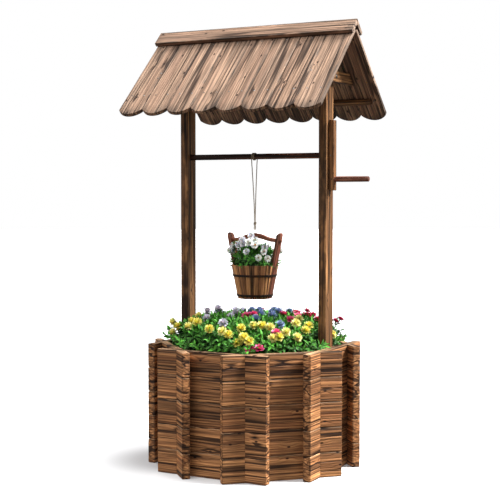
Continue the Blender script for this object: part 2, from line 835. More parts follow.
@dataclass
class Finishes:
    """Every finish of the planter, made once, by its material slot in the record."""

    wall_wood: Material = made(Wood(
        "scorched_wall_wood", (0.46, 0.212, 0.083), (0.29, 0.120, 0.046), (0.065, 0.023, 0.010),
        (0.012, 0.004, 0.002), knots=0.4, bleach=0.6, bleached=(0.54, 0.35, 0.21)))
    floor_wood: Material = made(Wood(
        "sawn_floor_wood", (0.36, 0.21, 0.11), (0.27, 0.14, 0.07), (0.12, 0.06, 0.03),
        (0.04, 0.02, 0.01), scorching=0.3))
    post_wood: Material = made(Wood(
        "scorched_post_wood", (0.37, 0.182, 0.072), (0.19, 0.082, 0.030), (0.055, 0.020, 0.008),
        (0.012, 0.004, 0.002), knots=0.2))
    roof_wood: Material = made(Wood(
        "weathered_roof_wood", (0.27, 0.150, 0.086), (0.18, 0.090, 0.052), (0.070, 0.030, 0.016),
        (0.013, 0.005, 0.003), knots=0.45, scorching=0.8, bleach=0.44,
        bleached=(0.36, 0.265, 0.20), end_bleach=1.9, edge_shade=1.0, rough=0.7))
    axle_wood: Material = made(Wood(
        "handled_axle_wood", (0.19, 0.062, 0.028), (0.11, 0.034, 0.016), (0.035, 0.012, 0.007),
        (0.010, 0.004, 0.002), ring=0.005, knots=0.1, rough=0.5))
    red_wood: Material = made(Wood(
        "red_stained_wood", (0.195, 0.062, 0.034), (0.115, 0.034, 0.018), (0.055, 0.016, 0.009),
        (0.02, 0.006, 0.003), ring=0.005, scorching=0.55, knots=0.1, edge_shade=0.3,
        edge_colour=(0.42, 0.20, 0.13), rough=0.55))
    bucket_wood: Material = made(Wood(
        "bucket_stave_wood", (0.50, 0.235, 0.095), (0.31, 0.130, 0.052), (0.08, 0.028, 0.012),
        (0.018, 0.007, 0.003), ring=0.006, scorching=0.8, knots=0.15, rough=0.5))
    twine: Material = made(Twine())
    steel: Material = made(Metal("zinc_steel", (0.30, 0.29, 0.28), (0.10, 0.08, 0.06)))
    hoop_steel: Material = made(Metal(
        "dark_hoop_steel", (0.035, 0.030, 0.028), (0.07, 0.03, 0.016), rough=0.5))
    soil: Material = made(Soil())
    bag_cloth: Material = made(BagCloth())
    leaves: Material = made(LeafGreen())
    yellow_petals: Material = made(PetalFinish(
        "yellow_petals", (0.66, 0.47, 0.015), (0.93, 0.84, 0.20), (0.72, 0.53, 0.03),
        (0.95, 0.90, 0.36)))
    pink_petals: Material = made(PetalFinish(
        "pink_petals", (0.40, 0.008, 0.07), (0.86, 0.11, 0.29), (0.22, 0.003, 0.03),
        (0.55, 0.02, 0.10)))
    pale_petals: Material = made(PetalFinish(
        "pale_petals", (0.30, 0.26, 0.36), (0.74, 0.70, 0.80), (0.05, 0.08, 0.22),
        (0.30, 0.38, 0.60)))
    white_petals: Material = made(PetalFinish(
        "white_petals", (0.82, 0.86, 0.74), (0.95, 0.95, 0.93), (0.76, 0.76, 0.83),
        (0.93, 0.92, 0.95)))


# Sub-assemblies


class Side(Enum):
    """The eight sides, in eighths of a turn from the front."""

    FRONT, FRONT_RIGHT, RIGHT, REAR_RIGHT, REAR, REAR_LEFT, LEFT, FRONT_LEFT = range(8)

    def axes(self) -> Array:
        """Rows that turn the front side's axes to this side's."""
        angle = np.radians(45 * self.value)
        return np.array(
            [(np.cos(angle), np.sin(angle), 0), (-np.sin(angle), np.cos(angle), 0), (0, 0, 1)])


class Slope(Enum):
    """The two slopes of the roof, by the sign of Y."""

    FRONT = -1
    REAR = 1


class Hand(Enum):
    """Left and right, by the sign of X."""

    LEFT = -1
    RIGHT = 1


@dataclass
class Assembly:
    """A part of the planter that makes its own pieces and dresses them in the shared finishes."""

    finish: Finishes
    body: ClassVar[str] = "well"

    def put(self, name: str, shell: Shell, slot: str, *replaced: str, body: str | None = None,
            blades: bool = False) -> Piece:
        """Makes a shell a piece of the planter.

        Args:
            name: the piece's name.
            shell: its surface, in place.
            slot: the record's material slot, and its finish here.
            replaced: the nodes that it stands for.
            body: what it moves with, or None for the assembly's.
            blades: whether it is open leaves or petals, not closed solids.

        Returns:
            The object, at the origin.
        """
        mesh = bpy.data.meshes.new(name)
        mesh.from_pydata(shell.points, [], [face for few in shell.faces for face in few.tolist()])
        for key, kind, part in (("grain", "FLOAT_VECTOR", "vector"), ("tone", "FLOAT", "value"),
                                ("edge", "FLOAT", "value")):
            values = np.ascontiguousarray(getattr(shell, key), np.float32).ravel()
            mesh.attributes.new(key, kind, "POINT").data.foreach_set(part, values)
        work = bmesh.new()
        work.from_mesh(mesh)
        if not blades:
            bmesh.ops.remove_doubles(work, verts=work.verts, dist=MERGE)
            bmesh.ops.dissolve_degenerate(work, edges=work.edges, dist=VANISHING)
            bmesh.ops.recalc_face_normals(work, faces=work.faces)
        work.to_mesh(mesh)
        work.free()
        mesh.polygons.foreach_set("use_smooth", np.ones(len(mesh.polygons), bool))
        mesh.set_sharp_from_angle(angle=SHARP)
        mesh.materials.append(getattr(self.finish, slot))
        piece = bpy.data.objects.new(name, mesh)
        bpy.context.scene.collection.objects.link(piece)
        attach(piece, body or self.body)
        if replaced:
            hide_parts(*replaced)
        LOG.info("%s on %s: %d faces", name, body or self.body, len(mesh.polygons))
        return piece


@dataclass
class Walls(Assembly):
    """The bed's eight sides of lapped boards."""

    apothem: float = 0.235
    thickness: float = 0.021
    height: float = 0.0625
    gap: float = 0.0003
    courses: int = 5
    reach: float = 0.15434
    notch: float = 0.03135
    lap_inner: float = 0.2138
    lap_outer: float = 0.2352
    rounding: float = 0.0014
    wear: float = 0.00035
    seed: int = 40

    def board(self, side: Side, course: int) -> Shell:
        """One board in its side's own axes, notched near both ends.

        Between the slanted lines x = lap sqrt(2) + y of the inner and the outer lap it is half its
        section. The left half mirrors the right one.

        Args:
            side: its side; the notches are below and above by turns.
            course: from 0 on the ground.

        Returns:
            The board.
        """
        seed = self.seed + 9 * side.value + course
        rng = np.random.default_rng(seed)
        whole = softened(block(self.thickness, self.height), self.rounding)
        rest = softened(block(self.thickness, self.height - self.notch), self.rounding)
        lift = self.notch / 2 * (1 if side.value % 2 == 0 else -1)
        turn = np.linspace(np.pi / 2, 0, 3)
        inset = np.r_[np.zeros(10), self.rounding * (1 - np.sin(turn)), [self.rounding] * 2]
        close = np.r_[np.ones(13), [0.5, 0]][:, None]
        halved = np.zeros(15, bool)
        halved[[5, 6]] = True
        section = np.where(halved[:, None, None], rest.points + (0, lift), whole.points)
        section = section - inset[:, None, None] * whole.outward
        y, z = section[..., 0], section[..., 1]
        y = y * close + (self.thickness / 2 - self.apothem)
        first = self.lap_inner * np.sqrt(2) + y
        second = self.lap_outer * np.sqrt(2) + y
        tip = self.reach - self.rounding
        share = np.array([0, .25, .5, .75, 1, 1, 0, 0, .5, 1, 1, 1, 1, 1, 1])[:, None]
        x = np.where(np.arange(15)[:, None] < 6, share * first, second + share * (tip - second))
        beyond = np.r_[np.zeros(10), self.rounding * np.cos(turn), [self.rounding] * 2][:, None]
        right = np.stack([x + beyond, y, z], axis=-1)
        points = np.r_[right[:0:-1] * (-1, 1, 1), right]
        ends = np.r_[np.zeros(10), np.ones(3), np.zeros(2)][:, None]
        worn = np.maximum(whole.edge, np.maximum(ends, halved[:, None] * 0.5))
        edge = np.r_[worn[:0:-1], worn]
        shut = np.r_[close[:0:-1], close]
        pull = 0.5 + 0.5 * wobble(points, seed, 0.1) + edge * (
            0.8 + 2 * np.maximum(0, wobble(points, seed + 1, 0.02)))
        points[..., 1:] -= self.wear * (pull * shut)[..., None] * whole.outward
        heart = np.array([rng.uniform(0, 40), rng.uniform(0.05, 0.11) * rng.choice([-1, 1]),
                         self.apothem + rng.uniform(-0.04, 0.04)])
        middle = self.height / 2 + course * (self.height + self.gap)
        return sheet(points + (0, 0, middle), points[..., [0, 2, 1]] + heart, rng.uniform(), edge)

    def build(self) -> None:
        """Stacks the courses of every side."""
        for side in Side:
            name = f"{side.name.lower()}_wall"
            boards = [self.board(side, course) for course in range(self.courses)]
            self.put(name, joined(boards).placed(side.axes(), (0, 0, 0)), "wall_wood",
                     f"{name}_boards")


def octagon(apothem: float, corner: float) -> Outline:
    """An outline of eight equal sides, with corners rounded by a radius."""
    ways = round_ways(np.radians(22.5 + 45 * np.arange(8)))
    return softened(apothem / np.cos(np.pi / 8) * ways, corner, inner=4)


@dataclass
class Bed(Assembly):
    """Floor, planting bag and soil inside the walls."""

    room: float = 0.2138
    bearer_width: float = 0.040
    bearer_height: float = 0.020
    bearer_places: tuple[float, ...] = (-0.140, 0.0, 0.140)
    slat_pitch: float = 0.08672
    slat_width: float = 0.08072
    slat_thickness: float = 0.012
    slat_base: float = 0.0202
    bag_apothem: float = 0.1868
    bag_corner: float = 0.012
    bag_base: float = 0.0324
    bag_top: float = 0.2837
    cloth: float = 0.0015
    fold: float = 0.0025
    soil_gap: float = 0.0030
    soil_lump: float = 0.006
    seed: int = 210

    def board(self, section: Outline, middle: float, seed: int) -> Shell:
        """A board whose middle lies beside the bed's, cut along the octagon's sides."""
        def end(across: Array, through: Array) -> Array:
            """The nearer of the two cuts."""
            return np.minimum(self.room, self.room * np.sqrt(2) - np.abs(across + middle))

        return Plank(section, end, seed).shell()

    def floor(self) -> None:
        """Three bearers on the ground, and five slats on them."""
        section = softened(block(self.bearer_width, self.bearer_height), 0.0015)
        bearers = [self.board(section, -x, self.seed + number).placed(
            frame_of(Y_WAY, -X_WAY), (x, 0, self.bearer_height / 2))
            for number, x in enumerate(self.bearer_places)]
        self.put("bearers", joined(bearers), "floor_wood", "floor_bearers")
        section = softened(block(self.slat_width, self.slat_thickness), 0.0012, inner=6)
        height = self.slat_base + self.slat_thickness / 2
        slats = [self.board(section, number * self.slat_pitch, self.seed + 10 + number).placed(
            frame_of(X_WAY, Y_WAY), (0, number * self.slat_pitch, height))
            for number in range(-2, 3)]
        self.put("slats", joined(slats), "floor_wood", "floor_slats")

    def bag(self) -> None:
        """The bag: its outline carried up outside, over the hem and down inside.

        Upright folds draw the walls in, less at the hem.
        """
        height = np.linspace(self.bag_base, self.bag_top, 12)
        inside = self.bag_base + self.cloth
        size = np.r_[[0, 0.5, 0.98], np.ones(12), np.full(12, 1 - 0.0085), [0.97, 0.5, 0]]
        level = np.r_[[self.bag_base] * 3, height, np.maximum(height[::-1], inside), [inside] * 3]
        points = stacked(octagon(self.bag_apothem, self.bag_corner).points, size, level)
        fold = 0.5 + 0.5 * wobble(points * (1, 1, 0.2), self.seed + 30, 0.035)
        sag = np.sin(np.pi * np.clip(
            (level - self.bag_base) / (self.bag_top - self.bag_base), 0, 1))[:, None]
        points[..., :2] *= (1 - self.fold / self.bag_apothem * fold * sag)[..., None]
        self.put("sewn_bag", sheet(points), "bag_cloth", "planting_bag")

    def soil(self) -> None:
        """The soil: its outline filled in, the top sunk in lumps."""
        line = octagon(self.bag_apothem - self.cloth - self.soil_gap, self.bag_corner).points
        base = self.bag_base + self.cloth + SEAT
        size = np.r_[[0, 0.5, 1, 1], np.linspace(0.98, 0, 14)]
        level = np.r_[[base] * 3, [self.bag_top - self.soil_lump], [self.bag_top] * 14]
        points = stacked(line, size, level)
        sink(points, 4, self.soil_lump, self.seed + 31, 0.03)
        self.put("bed_soil_fill", sheet(points), "soil", "bed_soil")

    def build(self) -> None:
        """Floor, bag and soil."""
        self.floor()
        self.bag()
        self.soil()


@dataclass(frozen=True)
class Fastener:
    """A screw or nail: a domed head, with or without a cross cut, on a pointed shank."""

    head_radius: float
    head_height: float
    shank_radius: float
    length: float
    crossed: bool = False
    sides: int = 16

    def shell(self, tone: int) -> Shell:
        """The fastener along X, its head's seat at 0 and its shank towards +X.

        The head's face bulges by a fifth of its height. In a cross cut, points nearer than a sixth
        of the head's radius to one of two crossed lines sink.

        Args:
            tone: picks one of seven tones.

        Returns:
            The fastener.
        """
        head, shank = self.head_radius, self.shank_radius
        radii = np.array([0, .25, .5, .66, .72, .9, 1, 1]) * head
        radii = np.r_[radii, [shank, shank, 0]]
        bulge = self.head_height * (0.8 + 0.2 * (1 - (radii[:6] / head)**2))
        along = np.r_[-bulge, [-self.head_height * 0.6, 0], [0, self.length * 0.93, self.length]]
        ways = round_ways(even_angles(self.sides))
        points = np.empty((len(radii), self.sides, 3))
        points[..., 0] = along[:, None]
        points[..., 1:] = radii[:, None, None] * ways
        if self.crossed:
            near = np.minimum(np.abs(points[..., 1]), np.abs(points[..., 2])) < head / 6
            cut = near & (radii[:, None] < 0.7 * head) & (np.arange(len(radii)) < 5)[:, None]
            points[..., 0] += cut * self.head_height * 0.55
        return sheet(points, tone=tone % 7 / 7)


@dataclass
class Frame(Assembly):
    """The two posts and the screws that hold them."""

    inner: float = 0.1928
    outer: float = 0.2138
    half_depth: float = 0.0225
    foot: float = 0.0324
    shoulder: float = 1.0851
    top: float = 1.10712
    rounding: float = 0.0016
    bore: float = 0.0077
    bore_edge: float = 0.0004
    wear: float = 0.0006
    wall_screw: Fastener = Fastener(0.004, 0.0024, 0.0019, 0.035, crossed=True, sides=24)
    tie_screw: Fastener = Fastener(0.004, 0.0024, 0.0019, 0.030, crossed=True, sides=24)
    screw_heights: tuple[float, ...] = (0.047, 0.1098, 0.1726, 0.2354, 0.2982)
    tie_face: float = 0.226
    tie_screw_height: float = 0.999
    tie_screw_side: float = 0.012
    seed: int = 300

    def post(self, hand: Hand) -> Shell:
        """A bored post.

        Its outline in (y, z) is matched point for point with the bore's circle. The surface runs
        from the bore out over one face, round the softened edge, and back over the other.

        Args:
            hand: which post.

        Returns:
            The post.
        """
        corners = np.array([
            (-self.half_depth, self.foot), (self.half_depth, self.foot),
            (self.half_depth, self.shoulder), (0, self.top), (-self.half_depth, self.shoulder)])
        half = (self.outer - self.inner) / 2
        line = softened(corners, self.rounding, inner=10)
        count = len(line.points)
        start = np.arctan2(line.points[0, 1] - AXLE_HEIGHT, line.points[0, 0])
        ring = round_ways(start + even_angles(count))
        hole = ring * self.bore + (0, AXLE_HEIGHT)
        turn = np.linspace(0, np.pi / 2, 3)
        rings = [(hole, half - self.bore_edge), (hole + ring * self.bore_edge, half),
                 (line.points - line.outward * 0.005, half)]
        rings += [(line.points - line.outward * inset, out) for inset, out in zip(
            self.rounding * (1 - np.sin(turn)), half - self.rounding * (1 - np.cos(turn)))]
        rings += [(flat, -out) for flat, out in rings[::-1]]
        rings.append(rings[0])
        points = np.stack([np.column_stack([np.full(count, out), flat]) for flat, out in rings])
        edge = np.zeros(len(rings))
        edge[3:9] = 1
        pull = edge[:, None] * (0.5 + np.maximum(
            0, wobble(points, self.seed + hand.value, 0.03))) * self.wear
        points[..., 1:] -= pull[..., None] * line.outward
        points[..., 0] += hand.value * (self.inner + self.outer) / 2
        heart = (7.0 * hand.value, 0.012, -0.17)
        grain = points[..., [2, 1, 0]] * (1, 1, hand.value) + heart
        return sheet(points, grain, 0.45, edge[:, None])

    def screws(self) -> Shell:
        """Wall screws with heads on the posts' inner faces, and tie screws on the ties' faces.

        Returns:
            All screws.
        """
        shells = []
        for hand in Hand:
            out = frame_of(hand.value * X_WAY, Y_WAY)
            back = frame_of(-hand.value * X_WAY, Y_WAY)
            shells += [
                self.wall_screw.shell(number).placed(out, (hand.value * self.inner, 0, height))
                for number, height in enumerate(self.screw_heights)]
            shells += [self.tie_screw.shell(side).placed(back, (
                hand.value * self.tie_face, side * self.tie_screw_side, self.tie_screw_height))
                for side in (-1, 1)]
        return joined(shells)

    def build(self) -> None:
        """Posts, then screws."""
        for hand in Hand:
            side = hand.name.lower()
            self.put(f"bored_{side}_post", self.post(hand), "post_wood", f"{side}_post")
        self.put("cross_head_screws", self.screws(), "steel", "frame_screws")


@dataclass
class Roof(Assembly):
    """Two slopes of scalloped boards with their ridge boards, battens, ties and nails."""

    apex: float = 1.1228
    angle: float = 44.4
    boards: int = 8
    pitch: float = 0.07125
    board_width: float = 0.07085
    thickness: float = 0.011
    ridge_gap: float = 0.0004
    joint_foot: float = 0.292
    scallop: float = 0.018
    ridge_length: float = 0.575
    ridge_lower: float = 0.03606
    ridge_thickness: float = 0.0123
    batten_width: float = 0.015
    batten_thickness: float = 0.012
    lower_place: float = 0.239
    lower_half: float = 0.260
    upper_place: float = 0.042
    upper_half: float = 0.1926
    tie_bottom: float = 0.984
    tie_height: float = 0.030
    tie_half: float = 0.12573
    tie_inner: float = 0.214
    tie_thickness: float = 0.012
    nail: Fastener = Fastener(0.0021, 0.0004, 0.0011, 0.020, sides=10)
    nail_side: float = 0.018
    seed: int = 400

    def __post_init__(self) -> None:
        """Works out the angle in radians and the ties' middle plane."""
        self.turn = np.radians(self.angle)
        self.tie_middle = self.tie_inner + self.tie_thickness / 2

    def down(self, slope: Slope) -> Array:
        """Direction down a slope."""
        return np.array([0, slope.value * np.cos(self.turn), -np.sin(self.turn)])

    def out(self, slope: Slope) -> Array:
        """Direction square out of a slope."""
        return np.array([0, slope.value * np.sin(self.turn), np.cos(self.turn)])

    def at(self, slope: Slope, x: float, down: float, out: float) -> Array:
        """A place on a slope: x, the way down from the apex, and the height over the top faces."""
        return X_WAY * x + Z_WAY * self.apex + self.down(slope) * down + self.out(slope) * out

    def along(self, slope: Slope) -> Array:
        """Axes of a piece that runs along the ridge, its section in (down, out)."""
        return np.stack([slope.value * X_WAY, self.down(slope), self.out(slope)])

    def board(self, slope: Slope, number: int) -> Shell:
        """A roof board; its foot is an arc through both joints that stands `scallop` lower.

        Args:
            slope: which slope.
            number: from 1 at the left.

        Returns:
            The board.
        """
        half = self.board_width / 2
        radius = (half**2 + self.scallop**2) / (2 * self.scallop)

        def foot(across: Array, through: Array) -> Array:
            """The scalloped cut: a circle's height over the chord between the joints."""
            return self.joint_foot + self.scallop - radius + np.sqrt(
                np.maximum(radius**2 - across**2, (radius - self.scallop)**2))

        start = self.thickness * np.tan(self.turn) + self.ridge_gap
        section = softened(block(self.board_width, self.thickness), 0.0016, inner=9)
        plank = Plank(
            section, foot, self.seed + 10 * slope.value + number, start, stations=11, wear=0.00035)
        middle = self.at(slope, (number - 4.5) * self.pitch, 0, -self.thickness / 2)
        return plank.shell().placed(frame_of(self.down(slope), -slope.value * X_WAY), middle)

    def ridge(self, slope: Slope) -> Shell:
        """A ridge board: its mitred section in (down, out), carried along the ridge.

        Args:
            slope: which slope it lies on.

        Returns:
            The board.
        """
        outs = np.array([SEAT, SEAT + self.ridge_thickness])
        mitre = (self.ridge_gap / 2 - outs * np.sin(self.turn)) / np.cos(self.turn)
        corners = np.array([(mitre[0], outs[0]), (self.ridge_lower, outs[0]),
                            (self.ridge_lower, outs[1]), (mitre[1], outs[1])])
        middle = corners.mean(0)
        section = softened(corners - middle, 0.0015, inner=3)
        plank = Plank(section, self.ridge_length / 2, self.seed + 40 + slope.value,
                      stations=21, rounding=0.0006, wear=0.0003)
        return plank.shell().placed(self.along(slope), self.at(slope, 0, middle[0], middle[1]))

    def batten(self, slope: Slope, place: float, half: float) -> Shell:
        """A batten of a half length under a slope, at a way down from the apex."""
        plank = Plank(softened(block(self.batten_width, self.batten_thickness), 0.001), half,
                      self.seed + 50 + slope.value + int(place * 100), stations=15)
        return plank.shell().placed(self.along(slope), self.at(
            slope, 0, place, -self.thickness - SEAT - self.batten_thickness / 2))

    def tie(self, hand: Hand) -> Shell:
        """A gable tie, along Y, its ends cut to the slopes.

        Args:
            hand: which gable.

        Returns:
            The tie.
        """
        def end(across: Array, through: Array) -> Array:
            """The slanted cut: shorter the higher it stands."""
            return self.tie_half - (across + self.tie_height / 2) / np.tan(self.turn)

        plank = Plank(softened(block(self.tie_height, self.tie_thickness), 0.0012), end,
                      self.seed + 60 + hand.value, stations=13)
        return plank.shell().placed(frame_of(Y_WAY, Z_WAY), (
            hand.value * self.tie_middle, 0, self.tie_bottom + self.tie_height / 2))

    def nails(self) -> Shell:
        """Nails of every board: two in its foot, and one in its head or two into a gable tie.

        Returns:
            All nails.
        """
        middle = (self.apex - self.tie_bottom - self.tie_height / 2
                  - (self.thickness + self.nail.length) / 2 * np.cos(self.turn)) / np.sin(self.turn)
        shells = []
        for slope in Slope:
            inward = frame_of(-self.out(slope), X_WAY)
            for number in range(1, self.boards + 1):
                x = (number - 4.5) * self.pitch
                places = [
                    (x - self.nail_side, self.lower_place), (x + self.nail_side, self.lower_place)]
                if number in (1, self.boards):
                    places += [
                        (np.sign(x) * self.tie_middle, middle + way) for way in (-0.010, 0.010)]
                else:
                    places.append((x, self.upper_place))
                shells += [self.nail.shell(number).placed(inward, self.at(slope, across, down, 0))
                           for across, down in places]
        return joined(shells)

    def build(self) -> None:
        """Boards, ridge, battens, ties, then nails."""
        for slope in Slope:
            side = slope.name.lower()
            for number in range(1, self.boards + 1):
                name = f"{side}_roof_board_{number}"
                self.put(f"scalloped_{name}", self.board(slope, number), "roof_wood", name)
            self.put(f"mitred_{side}_ridge", self.ridge(slope), "roof_wood", f"{side}_ridge_board")
        for level, place, half in (("lower", self.lower_place, self.lower_half),
                                   ("upper", self.upper_place, self.upper_half)):
            pair = [self.batten(slope, place, half) for slope in Slope]
            self.put(f"{level}_slope_battens", joined(pair), "post_wood", f"{level}_battens")
        for hand in Hand:
            side = hand.name.lower()
            self.put(f"cut_{side}_tie", self.tie(hand), "post_wood", f"{side}_gable_tie")
        self.put("flat_head_nails", self.nails(), "steel", "roof_nails")


@dataclass
class Windlass(Assembly):
    """The axle with its crank arm, handle, nails and stop pegs."""

    body: ClassVar[str] = "windlass"
    axle_left: float = -0.2118
    axle_right: float = 0.2246
    axle_radius: float = 0.0075
    arm_inner: float = 0.2148
    arm_thickness: float = 0.014
    arm_width: float = 0.020
    arm_half: float = 0.0885
    handle_height: float = 0.740
    handle_start: float = 0.218
    handle_end: float = 0.3208
    handle_radius: float = 0.0072
    nail: Fastener = Fastener(0.0018, 0.0003, 0.0011, 0.0198, sides=12)
    nail_places: tuple[tuple[float, float], ...] = ((0.2198, 0.800), (0.2233, 0.740))
    peg_place: float = 0.1893
    peg_radius: float = 0.0020
    seed: int = 500

    def rod(self, start: float, end: float, radius: float, edge: float, count: int, seed: int,
            belly: float = 0.0) -> Shell:
        """A turned rod about X with chamfered ends.

        Args:
            start: its left end.
            end: its right end.
            radius: in the middle.
            edge: of the chamfers.
            count: rings between them.
            seed: of its wood.
            belly: how much thinner the ends are.

        Returns:
            The rod.
        """
        middle = np.linspace(start + edge, end - edge, count)
        stations = np.r_[[start, start, start], middle, [end, end, end]]
        share = np.linspace(-1, 1, count)
        cap = np.array([0, 0.5 * radius, radius - edge - belly])
        radii = np.r_[cap, radius - belly * share**2, cap[::-1]]
        return turned(stations, radii, 24, seed, 0.0003)

    def pins(self) -> Shell:
        """Nails through the arm, and pegs through the axle beside the posts.

        Returns:
            Nails and pegs.
        """
        back = frame_of(Y_WAY, Z_WAY)
        pins = [self.nail.shell(3).placed(back, (x, -self.arm_width / 2, z))
                for x, z in self.nail_places]
        peg = turned(np.array([0, 0, 0.0006, 0.010, 0.0105, 0.0105]) + 0.002,
                     np.array([0, 1, 1, 1, 0.75, 0]) * self.peg_radius, 14, self.seed + 10)
        return joined(pins + [
            peg.placed(back, (hand.value * self.peg_place, 0, AXLE_HEIGHT)) for hand in Hand])

    def build(self) -> None:
        """Axle, arm, handle and pins."""
        axle = self.rod(self.axle_left, self.axle_right, self.axle_radius, 0.0006, 30, self.seed)
        self.put("turned_axle", axle.placed(np.eye(3), Z_WAY * AXLE_HEIGHT), "axle_wood",
                 "windlass_axle")
        section = softened(block(self.arm_width, self.arm_thickness), 0.0016)
        arm = Plank(section, self.arm_half, self.seed + 1, stations=15).shell()
        self.put("sawn_crank_arm", arm.placed(frame_of(Z_WAY, -Y_WAY), (
            self.arm_inner + self.arm_thickness / 2, 0, AXLE_HEIGHT)), "post_wood", "crank_arm")
        handle = self.rod(
            self.handle_start, self.handle_end, self.handle_radius, 0.0012, 12, self.seed + 2,
            belly=0.0003)
        self.put("turned_handle", handle.placed(np.eye(3), Z_WAY * self.handle_height),
                 "red_wood", "crank_handle")
        self.put("nails_and_pegs", self.pins(), "steel", "windlass_pins")


@dataclass
class Rope(Assembly):
    """The twine: its turns on the axle, two strands, the knot and the loop round the bail."""

    radius: float = 0.0013
    lay: float = 0.0045
    turn_radius: float = 0.0091
    pitch: float = 0.0031
    half_turns: int = 5
    first: float = -0.005875
    join: tuple[float, float] = (0.00145, 0.668)
    foot: float = 0.6302
    knot_middle: float = 0.6255
    knot_radius: float = 0.004
    knot_half: float = 0.0045
    loop_half: tuple[tuple[float, float], ...] = (
        (0.00145, 0.6208), (0.0066, 0.600), (0.0066, 0.5844))

    def turns(self) -> Array:
        """Places on the winding: X grows by the pitch each turn, round the axle from the front."""
        angle = np.linspace(0, self.half_turns * np.pi, 6 * self.half_turns + 1)
        return np.stack([
            self.first + self.pitch * angle / (2 * np.pi), -self.turn_radius * np.cos(angle),
            AXLE_HEIGHT + self.turn_radius * np.sin(angle)], axis=-1)

    def spline(self, name: str, points: Array, steps: int) -> Array:
        """A smooth line that a route's points control.

        Args:
            name: of the route.
            points: of the route.
            steps: points for each of the route's.

        Returns:
            Points along the line.
        """
        curve = bpy.data.curves.new(name, "CURVE")
        curve.dimensions = "3D"
        line = curve.splines.new("NURBS")
        line.points.add(len(points) - 1)
        line.points.foreach_set("co", np.column_stack([points, np.ones(len(points))]).ravel())
        line.order_u = 3
        line.use_endpoint_u = True
        curve.resolution_u = steps
        holder = bpy.data.objects.new(name, curve)
        mesh = bpy.data.meshes.new_from_object(holder)
        places = np.empty(len(mesh.vertices) * 3)
        mesh.vertices.foreach_get("co", places)
        bpy.data.objects.remove(holder)
        bpy.data.curves.remove(curve)
        bpy.data.meshes.remove(mesh)
        return places.reshape(-1, 3)

    def run(self, name: str, route: Array, steps: int, node: str, body: str = "rope",
            **cord: object) -> Piece:
        """A length of twine along a route, declared as a cord.

        Args:
            name: the piece's name.
            route: points that its line follows.
            steps: points for each of the route's.
            node: what it stands for.
            body: what it moves with.
            cord: how it lies and what it is tied to.

        Returns:
            The piece.
        """
        path = self.spline(name, route, steps)
        length = float(np.linalg.norm(np.diff(path, axis=0), axis=1).sum())
        shell = swept(path, self.radius, self.lay, X_WAY)
        piece = self.put(name, shell, "twine", node, body=body)
        return piece

    def knot(self) -> Piece:
        """A tied knot: a closed line (a + b cos 3t) from the middle at angle 2t, and c sin 3t high.

        Returns:
            The piece.
        """
        t = np.linspace(0, 2 * np.pi, 120, endpoint=False)
        across = (self.knot_radius - self.radius) * (0.62 + 0.38 * np.cos(3 * t))
        rise = (self.knot_half - self.radius) * np.sin(3 * t)
        path = np.stack(
            [across * np.cos(2 * t), across * np.sin(2 * t), self.knot_middle + rise], axis=-1)
        shell = swept(path, self.radius * 1.02, self.lay, Z_WAY, closed=True)
        return self.put("tied_knot", shell, "twine", "rope_knot", body="knot")

    def build(self) -> None:
        """Knot, winding, strands and loop."""
        knot = self.knot()
        turns = self.turns()
        self.run("twine_winding", turns, 4, "rope_winding", far_end="object", lay="coiled")
        beside, height = self.join
        for hand, side, top in ((-1, "front", turns[0]), (1, "rear", turns[-1])):
            route = np.array(
                [top - Z_WAY * SEAT, (0, hand * beside, height), (0, hand * beside, self.foot)])
            strand = self.run(f"twine_{side}_strand", route, 90, f"rope_{side}_strand",
                              far_end="knot", lay="taut", with_pieces=[knot] if hand < 0 else [])
            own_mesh(strand)
        half = np.array([(0, -y, z) for y, z in self.loop_half])
        self.run("twine_loop", np.r_[half, half[::-1] * (1, -1, 1)], 16, "rope_loop", "loop",
                 far_end="object", lay="hanging")


